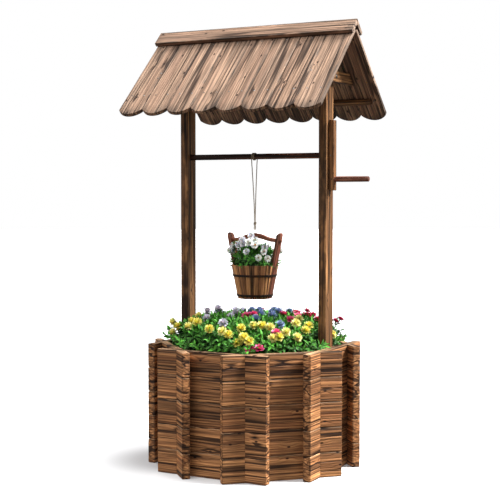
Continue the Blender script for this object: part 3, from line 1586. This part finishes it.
@dataclass
class Bucket(Assembly):
    """The coopered bucket with its bail, hoops and soil; heights are over its foot."""

    body: ClassVar[str] = "bucket"
    base: float = 0.4295
    height: float = 0.088
    foot_radius: float = 0.045
    taper: float = 0.196591
    thickness: float = 0.008
    staves_a_side: int = 8
    ear_half_sector: float = 12.86
    stave_step: float = 19.253
    stave_gap: float = 0.276
    ear_top: float = 0.172
    ear_half: float = 0.014
    ear_crown: float = 0.007
    hoop_places: tuple[float, float] = (0.009, 0.061)
    hoop_laps: tuple[float, float] = (1.2, 2.0)
    hoop_height: float = 0.006
    hoop_thickness: float = 0.0012
    hoop_gap: float = 0.0001
    rivet: Fastener = Fastener(0.0016, 0.0009, 0.0008, 0.0012, sides=12)
    bottom_low: float = 0.006
    bottom_high: float = 0.014
    soil_top: float = 0.076
    soil_lump: float = 0.004
    tenon_height: float = 0.582
    bail_shoulder: float = 0.06461
    bail_end_height: float = 0.010
    bail_height: float = 0.013
    bail_rise: float = 0.013
    bail_depth: float = 0.010
    tenon_radius: float = 0.0045
    tenon_end: float = 0.07898
    seed: int = 600

    def radius(self, height: Array | float) -> Array | float:
        """Outer radius of the staves at a height over the bucket's foot."""
        return self.foot_radius + self.taper * height

    def stave(self, yaw: float, seed: int) -> Shell:
        """A stave: a plank (up, round, out) rolled onto the cone.

        A point's angle is its way round over the radius halfway up. Its radius is the cone's at
        its height, less half the wall, plus its way out.

        Args:
            yaw: direction of its middle, in degrees from X.
            seed: of its wood.

        Returns:
            The stave.
        """
        middle = self.radius(self.height / 2)
        half = np.radians((self.stave_step - self.stave_gap) / 2)
        section = softened(block(2 * half * middle, self.thickness), 0.0013, inner=4)
        shell = Plank(
            section, self.height, seed, start=0, stations=7, wear=0.0003, rounding=0.001).shell()
        up, beside, out = shell.points.T
        angle = np.radians(yaw) + beside / middle
        reach = self.radius(up) - self.thickness / 2 + out
        shell.points = np.stack([reach * np.cos(angle), reach * np.sin(angle), self.base + up], 1)
        return shell

    def ear(self, hand: Hand) -> Shell:
        """A long stave, as wide as its sector or as the ear, whichever is less.

        Its top is a circle through both corners that stands `ear_crown` higher in the middle.

        Args:
            hand: which ear.

        Returns:
            The stave.
        """
        crown = (self.ear_half**2 + self.ear_crown**2) / (2 * self.ear_crown)

        def top(across: Array, through: Array) -> Array:
            """The circle's height over the foot."""
            return self.ear_top - crown + np.sqrt(
                np.maximum(crown**2 - across**2, (crown - self.ear_crown)**2))

        section = softened(block(2 * self.ear_half, self.thickness), 0.0015, inner=7)
        shell = Plank(section, top, self.seed + 10 + hand.value, start=0, stations=13,
                      wear=0.0003, rounding=0.0014).shell()
        up, across, out = shell.points.T
        limit = self.radius(up) * np.sin(np.radians(self.ear_half_sector))
        y = across / self.ear_half * np.minimum(self.ear_half, limit)
        reach = self.radius(up) - self.thickness / 2 + out
        x = np.sqrt(reach**2 - y**2) * hand.value
        shell.points = np.stack([x, y * hand.value, self.base + up], 1)
        return shell

    def hoop(self, place: float, lap: float) -> Shell:
        """A hoop: a flat band round the cone, its end lapped over its start.

        In the last twelfth of the turn the band climbs by half its thickness, and a rivet's head
        stands on the lap.

        Args:
            place: height of its middle.
            lap: direction of the lap, in radians from X.

        Returns:
            Band and rivet.
        """
        section = softened(block(self.hoop_thickness, self.hoop_height), 0.0003, inner=1)
        turn = np.linspace(0, 2 * np.pi, 120)
        climb = np.clip((turn - 2 * np.pi * 11 / 12) / 0.2, 0, 1)
        height = place + section.points[:, 1]
        reach = (
            self.radius(height) + self.hoop_gap + self.hoop_thickness / 2 + section.points[:, 0])
        reach = reach + climb[:, None] * self.hoop_thickness / 2
        ways = round_ways(turn + lap)
        points = np.stack([reach * ways[:, :1], reach * ways[:, 1:],
                           np.broadcast_to(self.base + height, reach.shape)], -1)
        close = points[[0, -1]].mean(1, keepdims=True).repeat(points.shape[1], 1)
        band = sheet(np.r_[close[:1], points, close[1:]])
        out = np.append(round_ways(lap - 0.1), 0)
        at = out * (self.radius(place) + self.hoop_gap + 1.5 * self.hoop_thickness) + Z_WAY * (
            self.base + place)
        return joined([band, self.rivet.shell(1).placed(frame_of(-out, Z_WAY), at)])

    def filling(self, low: float, high: float, lumps: float, seed: int) -> Shell:
        """A round piece inside the staves, its outline filled in.

        Args:
            low: height of its bottom.
            high: height of its top.
            lumps: how far the top sinks in places.
            seed: of the lumps.

        Returns:
            The piece.
        """
        edge = np.array([low, high])
        reach = self.radius(edge) - self.thickness - SEAT
        size = np.r_[[0, 0.5 * reach[0], reach[0] - 0.0005, reach[0], reach[1]],
                     np.linspace(0.98, 0, 10) * reach[1]]
        level = np.r_[[low] * 3, [low + 0.0005, high - 0.0008], [high] * 10]
        points = stacked(disc(1, 48).points, size, self.base + level)
        sink(points, 5, lumps, seed, 0.02)
        return sheet(points, points + (3.0, 0.05, -0.4), 0.4)

    def bow(self, x: Array, end: float, rise: float) -> Array:
        """Height of a bowed edge: an arc about the middle, then one bent the other way.

        Both have radius (shoulder^2 + rise^2) / (4 rise) and meet halfway to the shoulder.

        Args:
            x: how far each point lies from the middle.
            end: height at the shoulder.
            rise: from there to the middle.

        Returns:
            The heights.
        """
        half = self.bail_shoulder / 2
        radius = (self.bail_shoulder**2 + rise**2) / (4 * rise)
        inner = end + rise - radius + np.sqrt(radius**2 - np.minimum(x, half)**2)
        outer = end + radius - np.sqrt(radius**2 - np.maximum(self.bail_shoulder - x, 0)**2)
        return np.where(x < half, inner, outer)

    def bail(self) -> Shell:
        """The bail: a softened section along X between two bowed edges.

        Its round ends are the same section with each point drawn onto a circle.

        Returns:
            The bail.
        """
        line = softened(block(self.bail_depth, self.bail_height), 0.003, fade=0.002)
        bar = np.r_[np.linspace(0, self.bail_shoulder - 0.0008, 18), [self.bail_shoulder]]
        low = self.bow(bar, self.tenon_height - self.bail_end_height / 2,
                       self.bail_rise - self.bail_height + self.bail_end_height)
        high = self.bow(bar, self.tenon_height + self.bail_end_height / 2, self.bail_rise)
        size = (high - low) / self.bail_height
        draw = np.append(np.ones(18), 0.92)
        y = line.points[:, 0] * draw[:, None]
        z = (low + high)[:, None] / 2 + line.points[:, 1] * (size * draw)[:, None]
        ends = np.r_[[self.bail_shoulder, 0.070],
                     self.tenon_end - np.array([0.0012, 0.0004, 0, 0, 0])]
        rings = np.array([1, 1, 1, 0.92, 0.78, 0.4, 0]) * self.tenon_radius
        circle = rings[:, None, None] * unit(line.points)
        x = np.r_[bar, ends]
        y = np.r_[y, circle[..., 0]]
        z = np.r_[z, self.tenon_height + circle[..., 1]]
        right = np.stack([np.broadcast_to(x[:, None], y.shape), y, z], axis=-1)
        points = np.r_[right[:0:-1] * (-1, 1, 1), right]
        worn = np.array([0, 0, 0.6, 1, 1, 0.3, 0.2])[:, None].repeat(len(line.edge), 1)
        worn = np.r_[line.edge[None].repeat(19, 0) * 0.7, worn]
        edge = np.r_[worn[:0:-1], worn]
        return sheet(points, points + (9.0, 0.02, -0.54), 0.55, edge)

    def build(self) -> None:
        """Staves, ears, bottom, hoops, soil and bail."""
        first = self.ear_half_sector + 0.14 + self.stave_step / 2
        staves = [self.stave(start + first + number * self.stave_step,
                             self.seed + 20 + number + start)
                  for start in (0, 180) for number in range(self.staves_a_side)]
        self.put("coopered_staves", joined(staves), "bucket_wood", "bucket_staves")
        for hand in Hand:
            side = hand.name.lower()
            self.put(f"round_{side}_ear", self.ear(hand), "red_wood", f"{side}_ear_stave")
        bottom = self.filling(self.bottom_low, self.bottom_high, 0, self.seed + 50)
        self.put("bottom_board", bottom, "bucket_wood", "bucket_bottom")
        hoops = [self.hoop(place, lap) for place, lap in zip(self.hoop_places, self.hoop_laps)]
        self.put("lapped_hoops", joined(hoops), "hoop_steel", "bucket_hoops")
        soil = self.filling(self.bottom_high + SEAT, self.soil_top, self.soil_lump, self.seed + 51)
        self.put("bucket_soil_fill", soil, "soil", "bucket_soil")
        self.put("bowed_bail", self.bail(), "red_wood", "bucket_bail", body="bail")


# Plants


@dataclass(frozen=True)
class Tier:
    """A ring of petals: how many, how steep, how long and wide for the head's radius."""

    count: int
    steep: float
    length: float
    width: float
    eye: bool = False


DOUBLE = (Tier(8, -58, 0.72, 0.46), Tier(11, -32, 0.90, 0.48), Tier(14, -6, 1.0, 0.46),
          Tier(14, 18, 1.02, 0.44), Tier(12, 40, 1.02, 0.42), Tier(9, 60, 1.0, 0.40),
          Tier(5, 80, 0.95, 0.32))
SINGLE = (Tier(6, -6, 0.96, 0.90), Tier(6, 20, 0.98, 0.80), Tier(5, 50, 0.80, 0.60),
          Tier(5, 74, 0.46, 0.16, eye=True))
DAISY = (Tier(8, -44, 0.80, 0.56), Tier(10, -14, 0.96, 0.54), Tier(11, 12, 1.0, 0.52),
         Tier(9, 38, 0.98, 0.50), Tier(6, 60, 0.92, 0.44), Tier(4, 80, 0.74, 0.22, eye=True))


def fanned(angle: Array, steep: Array, axis: Array, one: Array,
           two: Array) -> tuple[Array, Array, Array]:
    """Directions of blades that stand round an axis.

    Outwards is cos(angle) one + sin(angle) two, and a blade's heading is cos(steep) outwards
    + sin(steep) axis.

    Args:
        angle: of each blade round its axis.
        steep: of each, in degrees.
        axis: of each.
        one: side direction of each.
        two: the other side direction.

    Returns:
        The way outwards, the heading, and the way that the upper face looks.
    """
    steep = np.radians(steep)[:, None]
    flat = np.cos(angle)[:, None] * one + np.sin(angle)[:, None] * two
    return (flat, np.cos(steep) * flat + np.sin(steep) * axis,
            np.cos(steep) * axis - np.sin(steep) * flat)


@dataclass(frozen=True)
class Head:
    """Form of a flower head: its tiers of petals, and how each petal is cupped."""

    radius: float
    tiers: tuple[Tier, ...]
    blade: Blade = Blade(bend=0.22, fold=0.22, fullness=0.55, bluntness=5.0)

    def shell(self, places: Array, ways: Array, tones: Array, seed: int) -> Shell:
        """Heads whose petals stand evenly round each tier, a little turned, raised and sized.

        Args:
            places: middles of the heads.
            ways: directions that they face.
            tones: colouring of each head.
            seed: of the scatter.

        Returns:
            All petals as one shell.
        """
        rng = np.random.default_rng(seed)
        one, two = squared(ways)
        shells = []
        for number, tier in enumerate(self.tiers):
            count = len(places) * tier.count
            owner = np.repeat(np.arange(len(places)), tier.count)
            spot = np.tile(np.arange(tier.count), len(places))
            angle = 2 * np.pi * (spot + 0.5 * number) / tier.count + rng.normal(0, 0.09, count)
            steep = tier.steep + rng.normal(0, 6, count)
            flat, heading, up = fanned(angle, steep, ways[owner], one[owner], two[owner])
            roots = places[owner] + self.radius * (0.06 * flat - 0.22 * ways[owner])
            length = self.radius * tier.length * rng.uniform(0.9, 1.05, count)
            width = self.radius * tier.width * rng.uniform(0.9, 1.1, count)
            kind = rng.uniform(0, 1, count) + (EYE if tier.eye else 0.0)
            shells.append(self.blade.shell(roots, heading, up, length, width, tones[owner], kind))
        return joined(shells)


@dataclass(frozen=True)
class Foliage:
    """A mound of leafy sprigs over a dark heart."""

    base: float
    radius: float
    height: float
    leaf: float
    sprigs: int
    seed: int
    heart_share: float = 0.72
    blade: Blade = Blade(bend=-0.18, fold=0.30, fullness=0.75, bluntness=1.6)
    stem: Blade = Blade(bend=0.05, fold=0.5, fullness=0.1, bluntness=9.0, rows=2)

    def top(self, x: Array, y: Array) -> Array:
        """Height of the full dome: base + height sqrt(1 - (distance / radius)^4)."""
        return self.base + self.height * np.sqrt(
            np.maximum(0.02, 1 - ((x**2 + y**2) / self.radius**2)**2))

    def outward(self, x: Array, y: Array) -> Array:
        """Direction square to the dome."""
        rise = self.top(x, y) - self.base
        return unit(np.stack([x / self.radius**2, y / self.radius**2, rise / self.height**2], -1))

    def rooted(self, x: Array, y: Array, spread: float, depth: float,
               rng: np.random.Generator) -> tuple[Array, Array]:
        """Feet and scattered directions of stems that end on the dome, a depth over their feet."""
        ways = unit(self.outward(x, y) + rng.normal(0, spread, (len(x), 3)))
        return np.stack([x, y, self.top(x, y)], 1) - ways * depth, ways

    def heart(self, line: Outline, size: float) -> Shell:
        """The dark mound under the leaves: the outline drawn in towards the top and the bottom.

        Args:
            line: the outline.
            size: share of it that the mound fills.

        Returns:
            The mound.
        """
        share = np.r_[[0, 0.5, 1], np.linspace(1, 0, 14)]
        points = stacked(line.points, share, np.full(17, self.base))
        points[..., :2] *= size
        dome = self.top(points[3:, :, 0], points[3:, :, 1]) - self.base
        points[3:, :, 2] = self.base + self.heart_share * dome
        points[3:-1, :, 2] += 0.004 * wobble(points[3:-1], self.seed, 0.03)
        return sheet(points, np.broadcast_to(Y_WAY, points.shape))

    def sprig_leaves(self, roots: Array, ways: Array, reach: Array, per: int = 12) -> Shell:
        """Sprigs of leaves.

        Leaf k of a sprig stands at the golden angle times k round its stem, higher, steeper and
        shorter with k.

        Args:
            roots: feet of the stems.
            ways: directions of the stems.
            reach: lengths of the stems.
            per: leaves a sprig.

        Returns:
            All leaves as one shell.
        """
        rng = np.random.default_rng(self.seed)
        one, two = squared(ways)
        sprigs = len(roots)
        owner = np.repeat(np.arange(sprigs), per)
        step = np.tile(np.arange(per), sprigs)
        share = step / (per - 1)
        count = len(owner)
        angle = GOLDEN_ANGLE * step + rng.uniform(0, 6, sprigs)[owner]
        steep = 8 + 58 * share**1.3 + rng.normal(0, 9, count)
        _, heading, up = fanned(angle, steep, ways[owner], one[owner], two[owner])
        length = self.leaf * (1.2 - 0.55 * share) * rng.uniform(0.75, 1.2, count)
        stand = roots[owner] + ways[owner] * (0.9 * reach[owner] * share)[:, None]
        tone = np.clip(0.02 + 0.75 * share**2 + rng.normal(0, 0.24, count)
                       + rng.normal(0, 0.2, sprigs)[owner], 0, 1)
        leaves = self.blade.shell(
            stand, heading, up, length, length * rng.uniform(0.26, 0.42, count), tone,
            rng.uniform(0, 1, count))
        stems = self.stem.shell(roots, ways, one, reach, np.full(sprigs, self.leaf * 0.09),
                                np.full(sprigs, 0.3), np.zeros(sprigs))
        return joined([leaves, stems])


def spiral(count: int, half_width: float, half_depth: float) -> tuple[Array, Array]:
    """Places on a golden-angle spiral: sqrt((i + 1/2) / n) of the way out at angle 137.5 i.

    Args:
        count: how many.
        half_width: how far it reaches along X.
        half_depth: how far it reaches along Y.

    Returns:
        X and Y of the places.
    """
    index = np.arange(count)
    share = np.sqrt((index + 0.5) / count)
    angle = GOLDEN_ANGLE * index
    return half_width * share * np.cos(angle), half_depth * share * np.sin(angle)


def outmost(x: Array, y: Array) -> Array:
    """Apothem of the octagon that passes through each place."""
    return np.maximum(np.maximum(np.abs(x), np.abs(y)), (np.abs(x) + np.abs(y)) / np.sqrt(2))


@dataclass
class BedPlants(Assembly):
    """Leaves and flowers of the bed: heads in view at their places in millimetres, and a spiral of
    heads behind them. Crimson heads stand at the right rear, and pale ones left of the blue."""

    base: float = 0.2839
    room: float = 0.212
    reach: float = 0.226
    limit: float = 0.204
    slot_x: float = 0.1824
    slot_y: float = 0.030
    stem: float = 0.039
    depth: float = 0.040
    rim: float = 0.192
    rim_sprigs: int = 76
    count: int = 46
    head: float = 0.013
    between: float = 0.027
    half_width: float = 0.1718
    half_depth: float = 0.186
    rear: float = -0.02
    pink_side: float = 0.060
    spread: float = 0.004
    seed: int = 700
    yellow: tuple[tuple[int, int, int], ...] = (
        (-190, -103, 368), (-162, -126, 360), (-177, -123, 343), (-139, -55, 382),
        (-114, -131, 376), (-90, -147, 377), (-105, -164, 367), (-28, -191, 367),
        (12, -197, 364), (33, -202, 358), (54, -175, 372), (76, -151, 377), (74, -198, 354),
        (61, -206, 339), (90, -200, 344), (94, -140, 377), (114, -135, 374), (135, -160, 350),
        (147, -150, 353), (155, -128, 363), (152, -66, 378), (136, -16, 384), (177, -43, 372),
        (184, -75, 364), (180, -115, 350), (204, 42, 342))
    pink: tuple[tuple[int, int, int], ...] = (
        (-2, -46, 390), (17, -40, 394), (90, -201, 326), (112, -190, 327), (137, -147, 363),
        (125, -45, 385), (81, 88, 388), (101, 105, 392), (121, 101, 383), (188, 100, 370),
        (196, 112, 374))
    pale: tuple[tuple[int, int, int], ...] = (
        (-137, -13, 391), (-119, 13, 396), (-80, -115, 384), (-7, -158, 380), (-27, -81, 388),
        (-27, 76, 390), (54, -4, 389), (50, -89, 388), (127, -106, 378))

    def leaves(self, mound: Foliage, heads: Array, head_ways: Array) -> Shell:
        """Sprigs all over the mound, a ring that leans over the walls, and one under each flower.

        Args:
            mound: the foliage.
            heads: places of the flowers.
            head_ways: directions that they face.

        Returns:
            All leaves and stems.
        """
        rng = np.random.default_rng(self.seed + 1)
        x, y = spiral(mound.sprigs, self.reach, self.reach)
        keep = (outmost(x, y) < self.limit) & ~(
            (np.abs(x) > self.slot_x) & (np.abs(y) < self.slot_y))
        roots, ways = mound.rooted(x[keep], y[keep], 0.22, self.depth, rng)
        turn = even_angles(self.rim_sprigs) + rng.normal(0, 0.02, self.rim_sprigs)
        turn = turn[np.abs(np.sin(turn)) > 0.15]
        count = len(turn)
        side = round_ways(turn)
        rim = side * (self.rim / outmost(*side.T))[:, None]
        lean = rng.uniform(0.45, 1.3, count)
        out = unit(np.column_stack([side * lean[:, None], rng.uniform(0.3, 0.8, count)]))
        low = np.column_stack([rim, rng.uniform(0.300, 0.322, count)])
        roots = np.r_[roots, low, heads - head_ways * self.depth]
        return mound.sprig_leaves(
            roots, np.r_[ways, out, head_ways], np.full(len(roots), self.stem))

    def build(self) -> None:
        """Foliage, then flowers by colour: those near their node's blossoms, and those strewn."""
        rng = np.random.default_rng(self.seed + 2)
        mound = Foliage(
            self.base, radius=0.245, height=0.101, leaf=0.023, sprigs=520, seed=self.seed)
        groups = [np.array(group) / 1000 for group in (self.yellow, self.pink, self.pale)]
        kinds = np.repeat(np.arange(3), [len(group) for group in groups])
        places = np.concatenate(groups)
        x, y = spiral(self.count, self.half_width, self.half_depth)
        gap = np.hypot(x[:, None] - places[:, 0], y[:, None] - places[:, 1]).min(1)
        free = (gap > self.between) & (y > self.rear)
        kind = np.where((np.arange(self.count) % 11 == 5) | (x > self.pink_side), 1, 2)
        places = np.r_[places, np.stack([x, y, mound.top(x, y) + 0.005], 1)[free]]
        kinds = np.r_[kinds, kind[free]]
        ways = unit(
            mound.outward(*places[:, :2].T) + (0, 0, 0.2) + rng.normal(0, 0.14, (len(places), 3)))
        x, y = places[:, 0], places[:, 1]
        second = np.where(kinds == 1, (x > 0.09) & (y > 0), x + y / 2 > -0.03)
        tones = rng.uniform(0, 1, len(places))
        tones = np.where(kinds == 0, tones, (tones + second) / 2)
        heart = mound.heart(octagon(self.room, 0.02), 0.88)
        self.put("leafy_sprigs", joined([heart, self.leaves(mound, places, ways)]), "leaves",
                 "bed_foliage", blades=True)
        for number, (colour, tiers) in enumerate((("yellow", DOUBLE), ("pink", SINGLE),
                                                  ("pale", DOUBLE))):
            low, high = np.array(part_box(f"{colour}_blossoms"))
            near = ((places > low - self.spread) & (places < high + self.spread)).all(1)
            for name, replaced, part in ((f"{colour}_heads", [f"{colour}_blossoms"], near),
                                         (f"strewn_{colour}_heads", [], ~near)):
                chosen = (kinds == number) & part
                heads = Head(self.head, tiers).shell(
                    places[chosen], ways[chosen], tones[chosen], self.seed + 10)
                self.put(name, heads, f"{colour}_petals", *replaced, blades=True)


@dataclass
class BucketPlants(Assembly):
    """Leaves and white flowers of the bucket: the flowers in front at their places in millimetres,
    and the same behind, half a turn round."""

    body: ClassVar[str] = "bucket"
    base: float = 0.5057
    radius: float = 0.0535
    height: float = 0.058
    head: float = 0.0094
    stem: float = 0.022
    rim_sprigs: int = 34
    high_sprigs: int = 24
    bail_room: float = 0.022
    bail_under: float = 0.566
    rear_top: float = 0.554
    seed: int = 730
    heads: tuple[tuple[int, int, int], ...] = (
        (4, -30, 595), (17, -30, 584), (-22, -30, 585), (-52, -26, 568), (-34, -31, 572),
        (-18, -34, 574), (1, -38, 576), (20, -38, 570), (45, -31, 566), (54, -32, 536),
        (46, -38, 554), (-1, -45, 554), (36, -49, 539), (-60, -30, 555), (55, 22, 555))

    def leaves(self, mound: Foliage, places: Array, rng: np.random.Generator) -> Shell:
        """Sprigs on the mound, over the rim, and under and behind flowers, low under the bail.

        Args:
            mound: the foliage.
            places: of the flowers.
            rng: gives the scatter.

        Returns:
            All leaves and stems.
        """
        x, y = spiral(mound.sprigs, 0.049, 0.049)
        roots, ways = mound.rooted(x, y, 0.2, 0.018, rng)
        side = round_ways(even_angles(self.rim_sprigs))
        out = unit(np.column_stack([side, rng.uniform(0.1, 1.1, self.rim_sprigs)]))
        low = np.column_stack([side * 0.046, rng.uniform(0.512, 0.530, self.rim_sprigs)])
        feet = np.column_stack([places[:, :2] * 0.6, np.minimum(0.53, places[:, 2] - 0.006)])
        lift = np.linalg.norm(places - feet, axis=1)
        count = self.high_sprigs
        high = np.column_stack(
            [np.linspace(-0.050, 0.050, count), np.tile((-0.029, -0.025), count // 2),
            rng.uniform(0.547, 0.558, count)])
        upright = unit(rng.normal(0, 0.12, high.shape) + (0, -0.1, 1))
        reach = np.r_[np.full(len(roots) + len(low), self.stem), lift, np.full(count, self.stem)]
        leaves = mound.sprig_leaves(np.r_[roots, low, feet, high],
                                    np.r_[ways, out, unit(places - feet), upright], reach, per=9)
        under = np.abs(leaves.points[:, 1]) < self.bail_room
        leaves.points[under, 2] = np.minimum(leaves.points[under, 2], self.bail_under)
        return leaves

    def build(self) -> None:
        """Foliage, then the flowers."""
        rng = np.random.default_rng(self.seed + 1)
        mound = Foliage(self.base, self.radius, self.height, leaf=0.0135, sprigs=170,
                        seed=self.seed, heart_share=0.6)
        front = np.array(self.heads) / 1000
        places = np.r_[front, np.minimum(front * (-1, -1, 1), (1, 1, self.rear_top))]
        facing = unit(mound.outward(*places[:, :2].T) + rng.normal(0, 0.15, places.shape)
                      + np.sign(places[:, 1:2]) * (-0.25, 0.5, 0))
        shell = joined([mound.heart(disc(0.0508, 40), 0.9), self.leaves(mound, places, rng)])
        self.put("bucket_sprigs", shell, "leaves", "bucket_foliage", blades=True)
        heads = Head(self.head, DAISY).shell(
            places, facing, rng.uniform(0, 1, len(places)), self.seed + 2)
        self.put("white_heads", heads, "white_petals", "bucket_blossoms", blades=True)


# The studio


@dataclass
class Studio:
    """Camera at the photograph's angle, pale floor, and soft light from the right."""

    azimuth: float = 28.21
    pitch: float = 2.77
    distance: float = 3.1038
    aim_side: float = -0.01304
    aim_height: float = 0.55585
    lens: float = 85.27
    sensor: float = 36.0
    backdrop: float = 20.0
    dim_spot: Triple = (-0.19, -0.09, 0.0)
    floor_glow: float = 0.36
    sky_light: float = 0.40

    def camera(self) -> None:
        """Looks down at the aim from the right front."""
        turn, tilt = np.radians(self.azimuth), np.radians(self.pitch)
        aim = np.array(
            [self.aim_side * np.cos(turn), self.aim_side * np.sin(turn), self.aim_height])
        away = np.array([np.sin(turn) * np.cos(tilt), -np.cos(turn) * np.cos(tilt), np.sin(tilt)])
        data = bpy.data.cameras.new("camera")
        data.lens = self.lens
        data.sensor_width = self.sensor
        camera = bpy.data.objects.new("camera", data)
        camera.location = aim + away * self.distance
        camera.rotation_euler = (np.pi / 2 - tilt, 0, turn)
        bpy.context.scene.collection.objects.link(camera)
        bpy.context.scene.camera = camera

    def lamp(self, name: str, away: Triple, strength: float, softness: float) -> None:
        """A distant lamp.

        Args:
            name: of the lamp.
            away: direction that it shines from.
            strength: of its light.
            softness: its width in degrees.
        """
        data = bpy.data.lights.new(name, "SUN")
        data.energy = strength
        data.angle = np.radians(softness)
        lamp = bpy.data.objects.new(name, data)
        lamp.rotation_euler = (np.arctan2(np.hypot(away[0], away[1]), away[2]), 0,
                               np.arctan2(away[1], away[0]) + np.pi / 2)
        bpy.context.scene.collection.objects.link(lamp)

    def stage(self, name: str, points: Array, faces: list, material: Material,
              shadow: bool) -> None:
        """A surface of the studio, which throws no light back at the planter.

        Args:
            name: of the surface.
            points: its points.
            faces: its faces.
            material: its finish.
            shadow: whether it throws a shadow.
        """
        mesh = bpy.data.meshes.new(name)
        mesh.from_pydata(points, [], faces)
        mesh.materials.append(material)
        surface = bpy.data.objects.new(name, mesh)
        surface.visible_diffuse = surface.visible_glossy = False
        surface.visible_shadow = shadow
        bpy.context.scene.collection.objects.link(surface)

    def floor(self) -> Material:
        """The floor's finish: a light table, dim under the planter and beside its foot.

        Returns:
            The material.
        """
        mix = Recipe("pale_floor")
        place = mix.place()
        away = mix.measured("DISTANCE", place, self.dim_spot)
        clouds = mix.noise(mix.scaled(place, (3, 3, 3)), 3.0)
        foot = mix.measured("LENGTH", place)
        colour = mix.blend(mix.between(away, 0.08, 0.22, 0.22, 0.0), mix.blend(
            clouds, (0.61, 0.61, 0.62), (0.64, 0.64, 0.65)), (0, 0, 0))
        lit = mix.sum(
            "MINIMUM", mix.between(away, 0.08, 0.22), mix.between(foot, 0.265, 0.315, 0.3, 1.0))
        return mix.finished(
            colour, 0.9, Emission_Color=mix.blend(lit, (0, 0, 0), (1, 1, 1)),
            Emission_Strength=self.floor_glow)

    def build(self) -> None:
        """Camera, floor, the white backdrop round it, soft light from all sides, and lamps."""
        self.camera()
        ways = disc(1, 48).points
        rim = np.column_stack([ways * (self.backdrop - 0.1), np.zeros(48)])
        self.stage("floor", rim, [tuple(range(48))], self.floor(), True)
        mix = Recipe("white_backdrop")
        glow = mix.add("ShaderNodeEmission", {"Color": (1, 1, 1, 1), "Strength": 1.0})
        mix.add("ShaderNodeOutputMaterial", {"Surface": glow.outputs[0]})
        rise = np.linspace(-np.pi / 2, np.pi / 2, 17)
        sky = stacked(ways, np.cos(rise), np.sin(rise)) * self.backdrop
        self.stage("backdrop", sky.reshape(-1, 3), skin(17, 48).tolist(), mix.material, False)
        world = bpy.data.worlds.new("soft_grey")
        world.use_nodes = True
        light = world.node_tree.nodes["Background"].inputs
        light["Color"].default_value = (1, 1, 1, 1)
        light["Strength"].default_value = self.sky_light
        bpy.context.scene.world = world
        bpy.context.scene.view_settings.view_transform = "Standard"
        self.lamp("key_lamp", (0.62, 0.30, 0.72), strength=9.8, softness=20)
        self.lamp("front_lamp", (-0.25, -0.45, 0.85), strength=2.9, softness=70)


def main() -> None:
    """Builds the planter over its frame, and keeps the box of the frame and of the whole."""
    logging.basicConfig(level=logging.INFO, format="%(message)s")
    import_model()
    Studio().build()
    finish = Finishes()
    for part in (Rope, Walls, Bed, Frame, Roof, Windlass, Bucket, BedPlants, BucketPlants):
        part(finish).build()


if __name__ == "__main__":
    main()
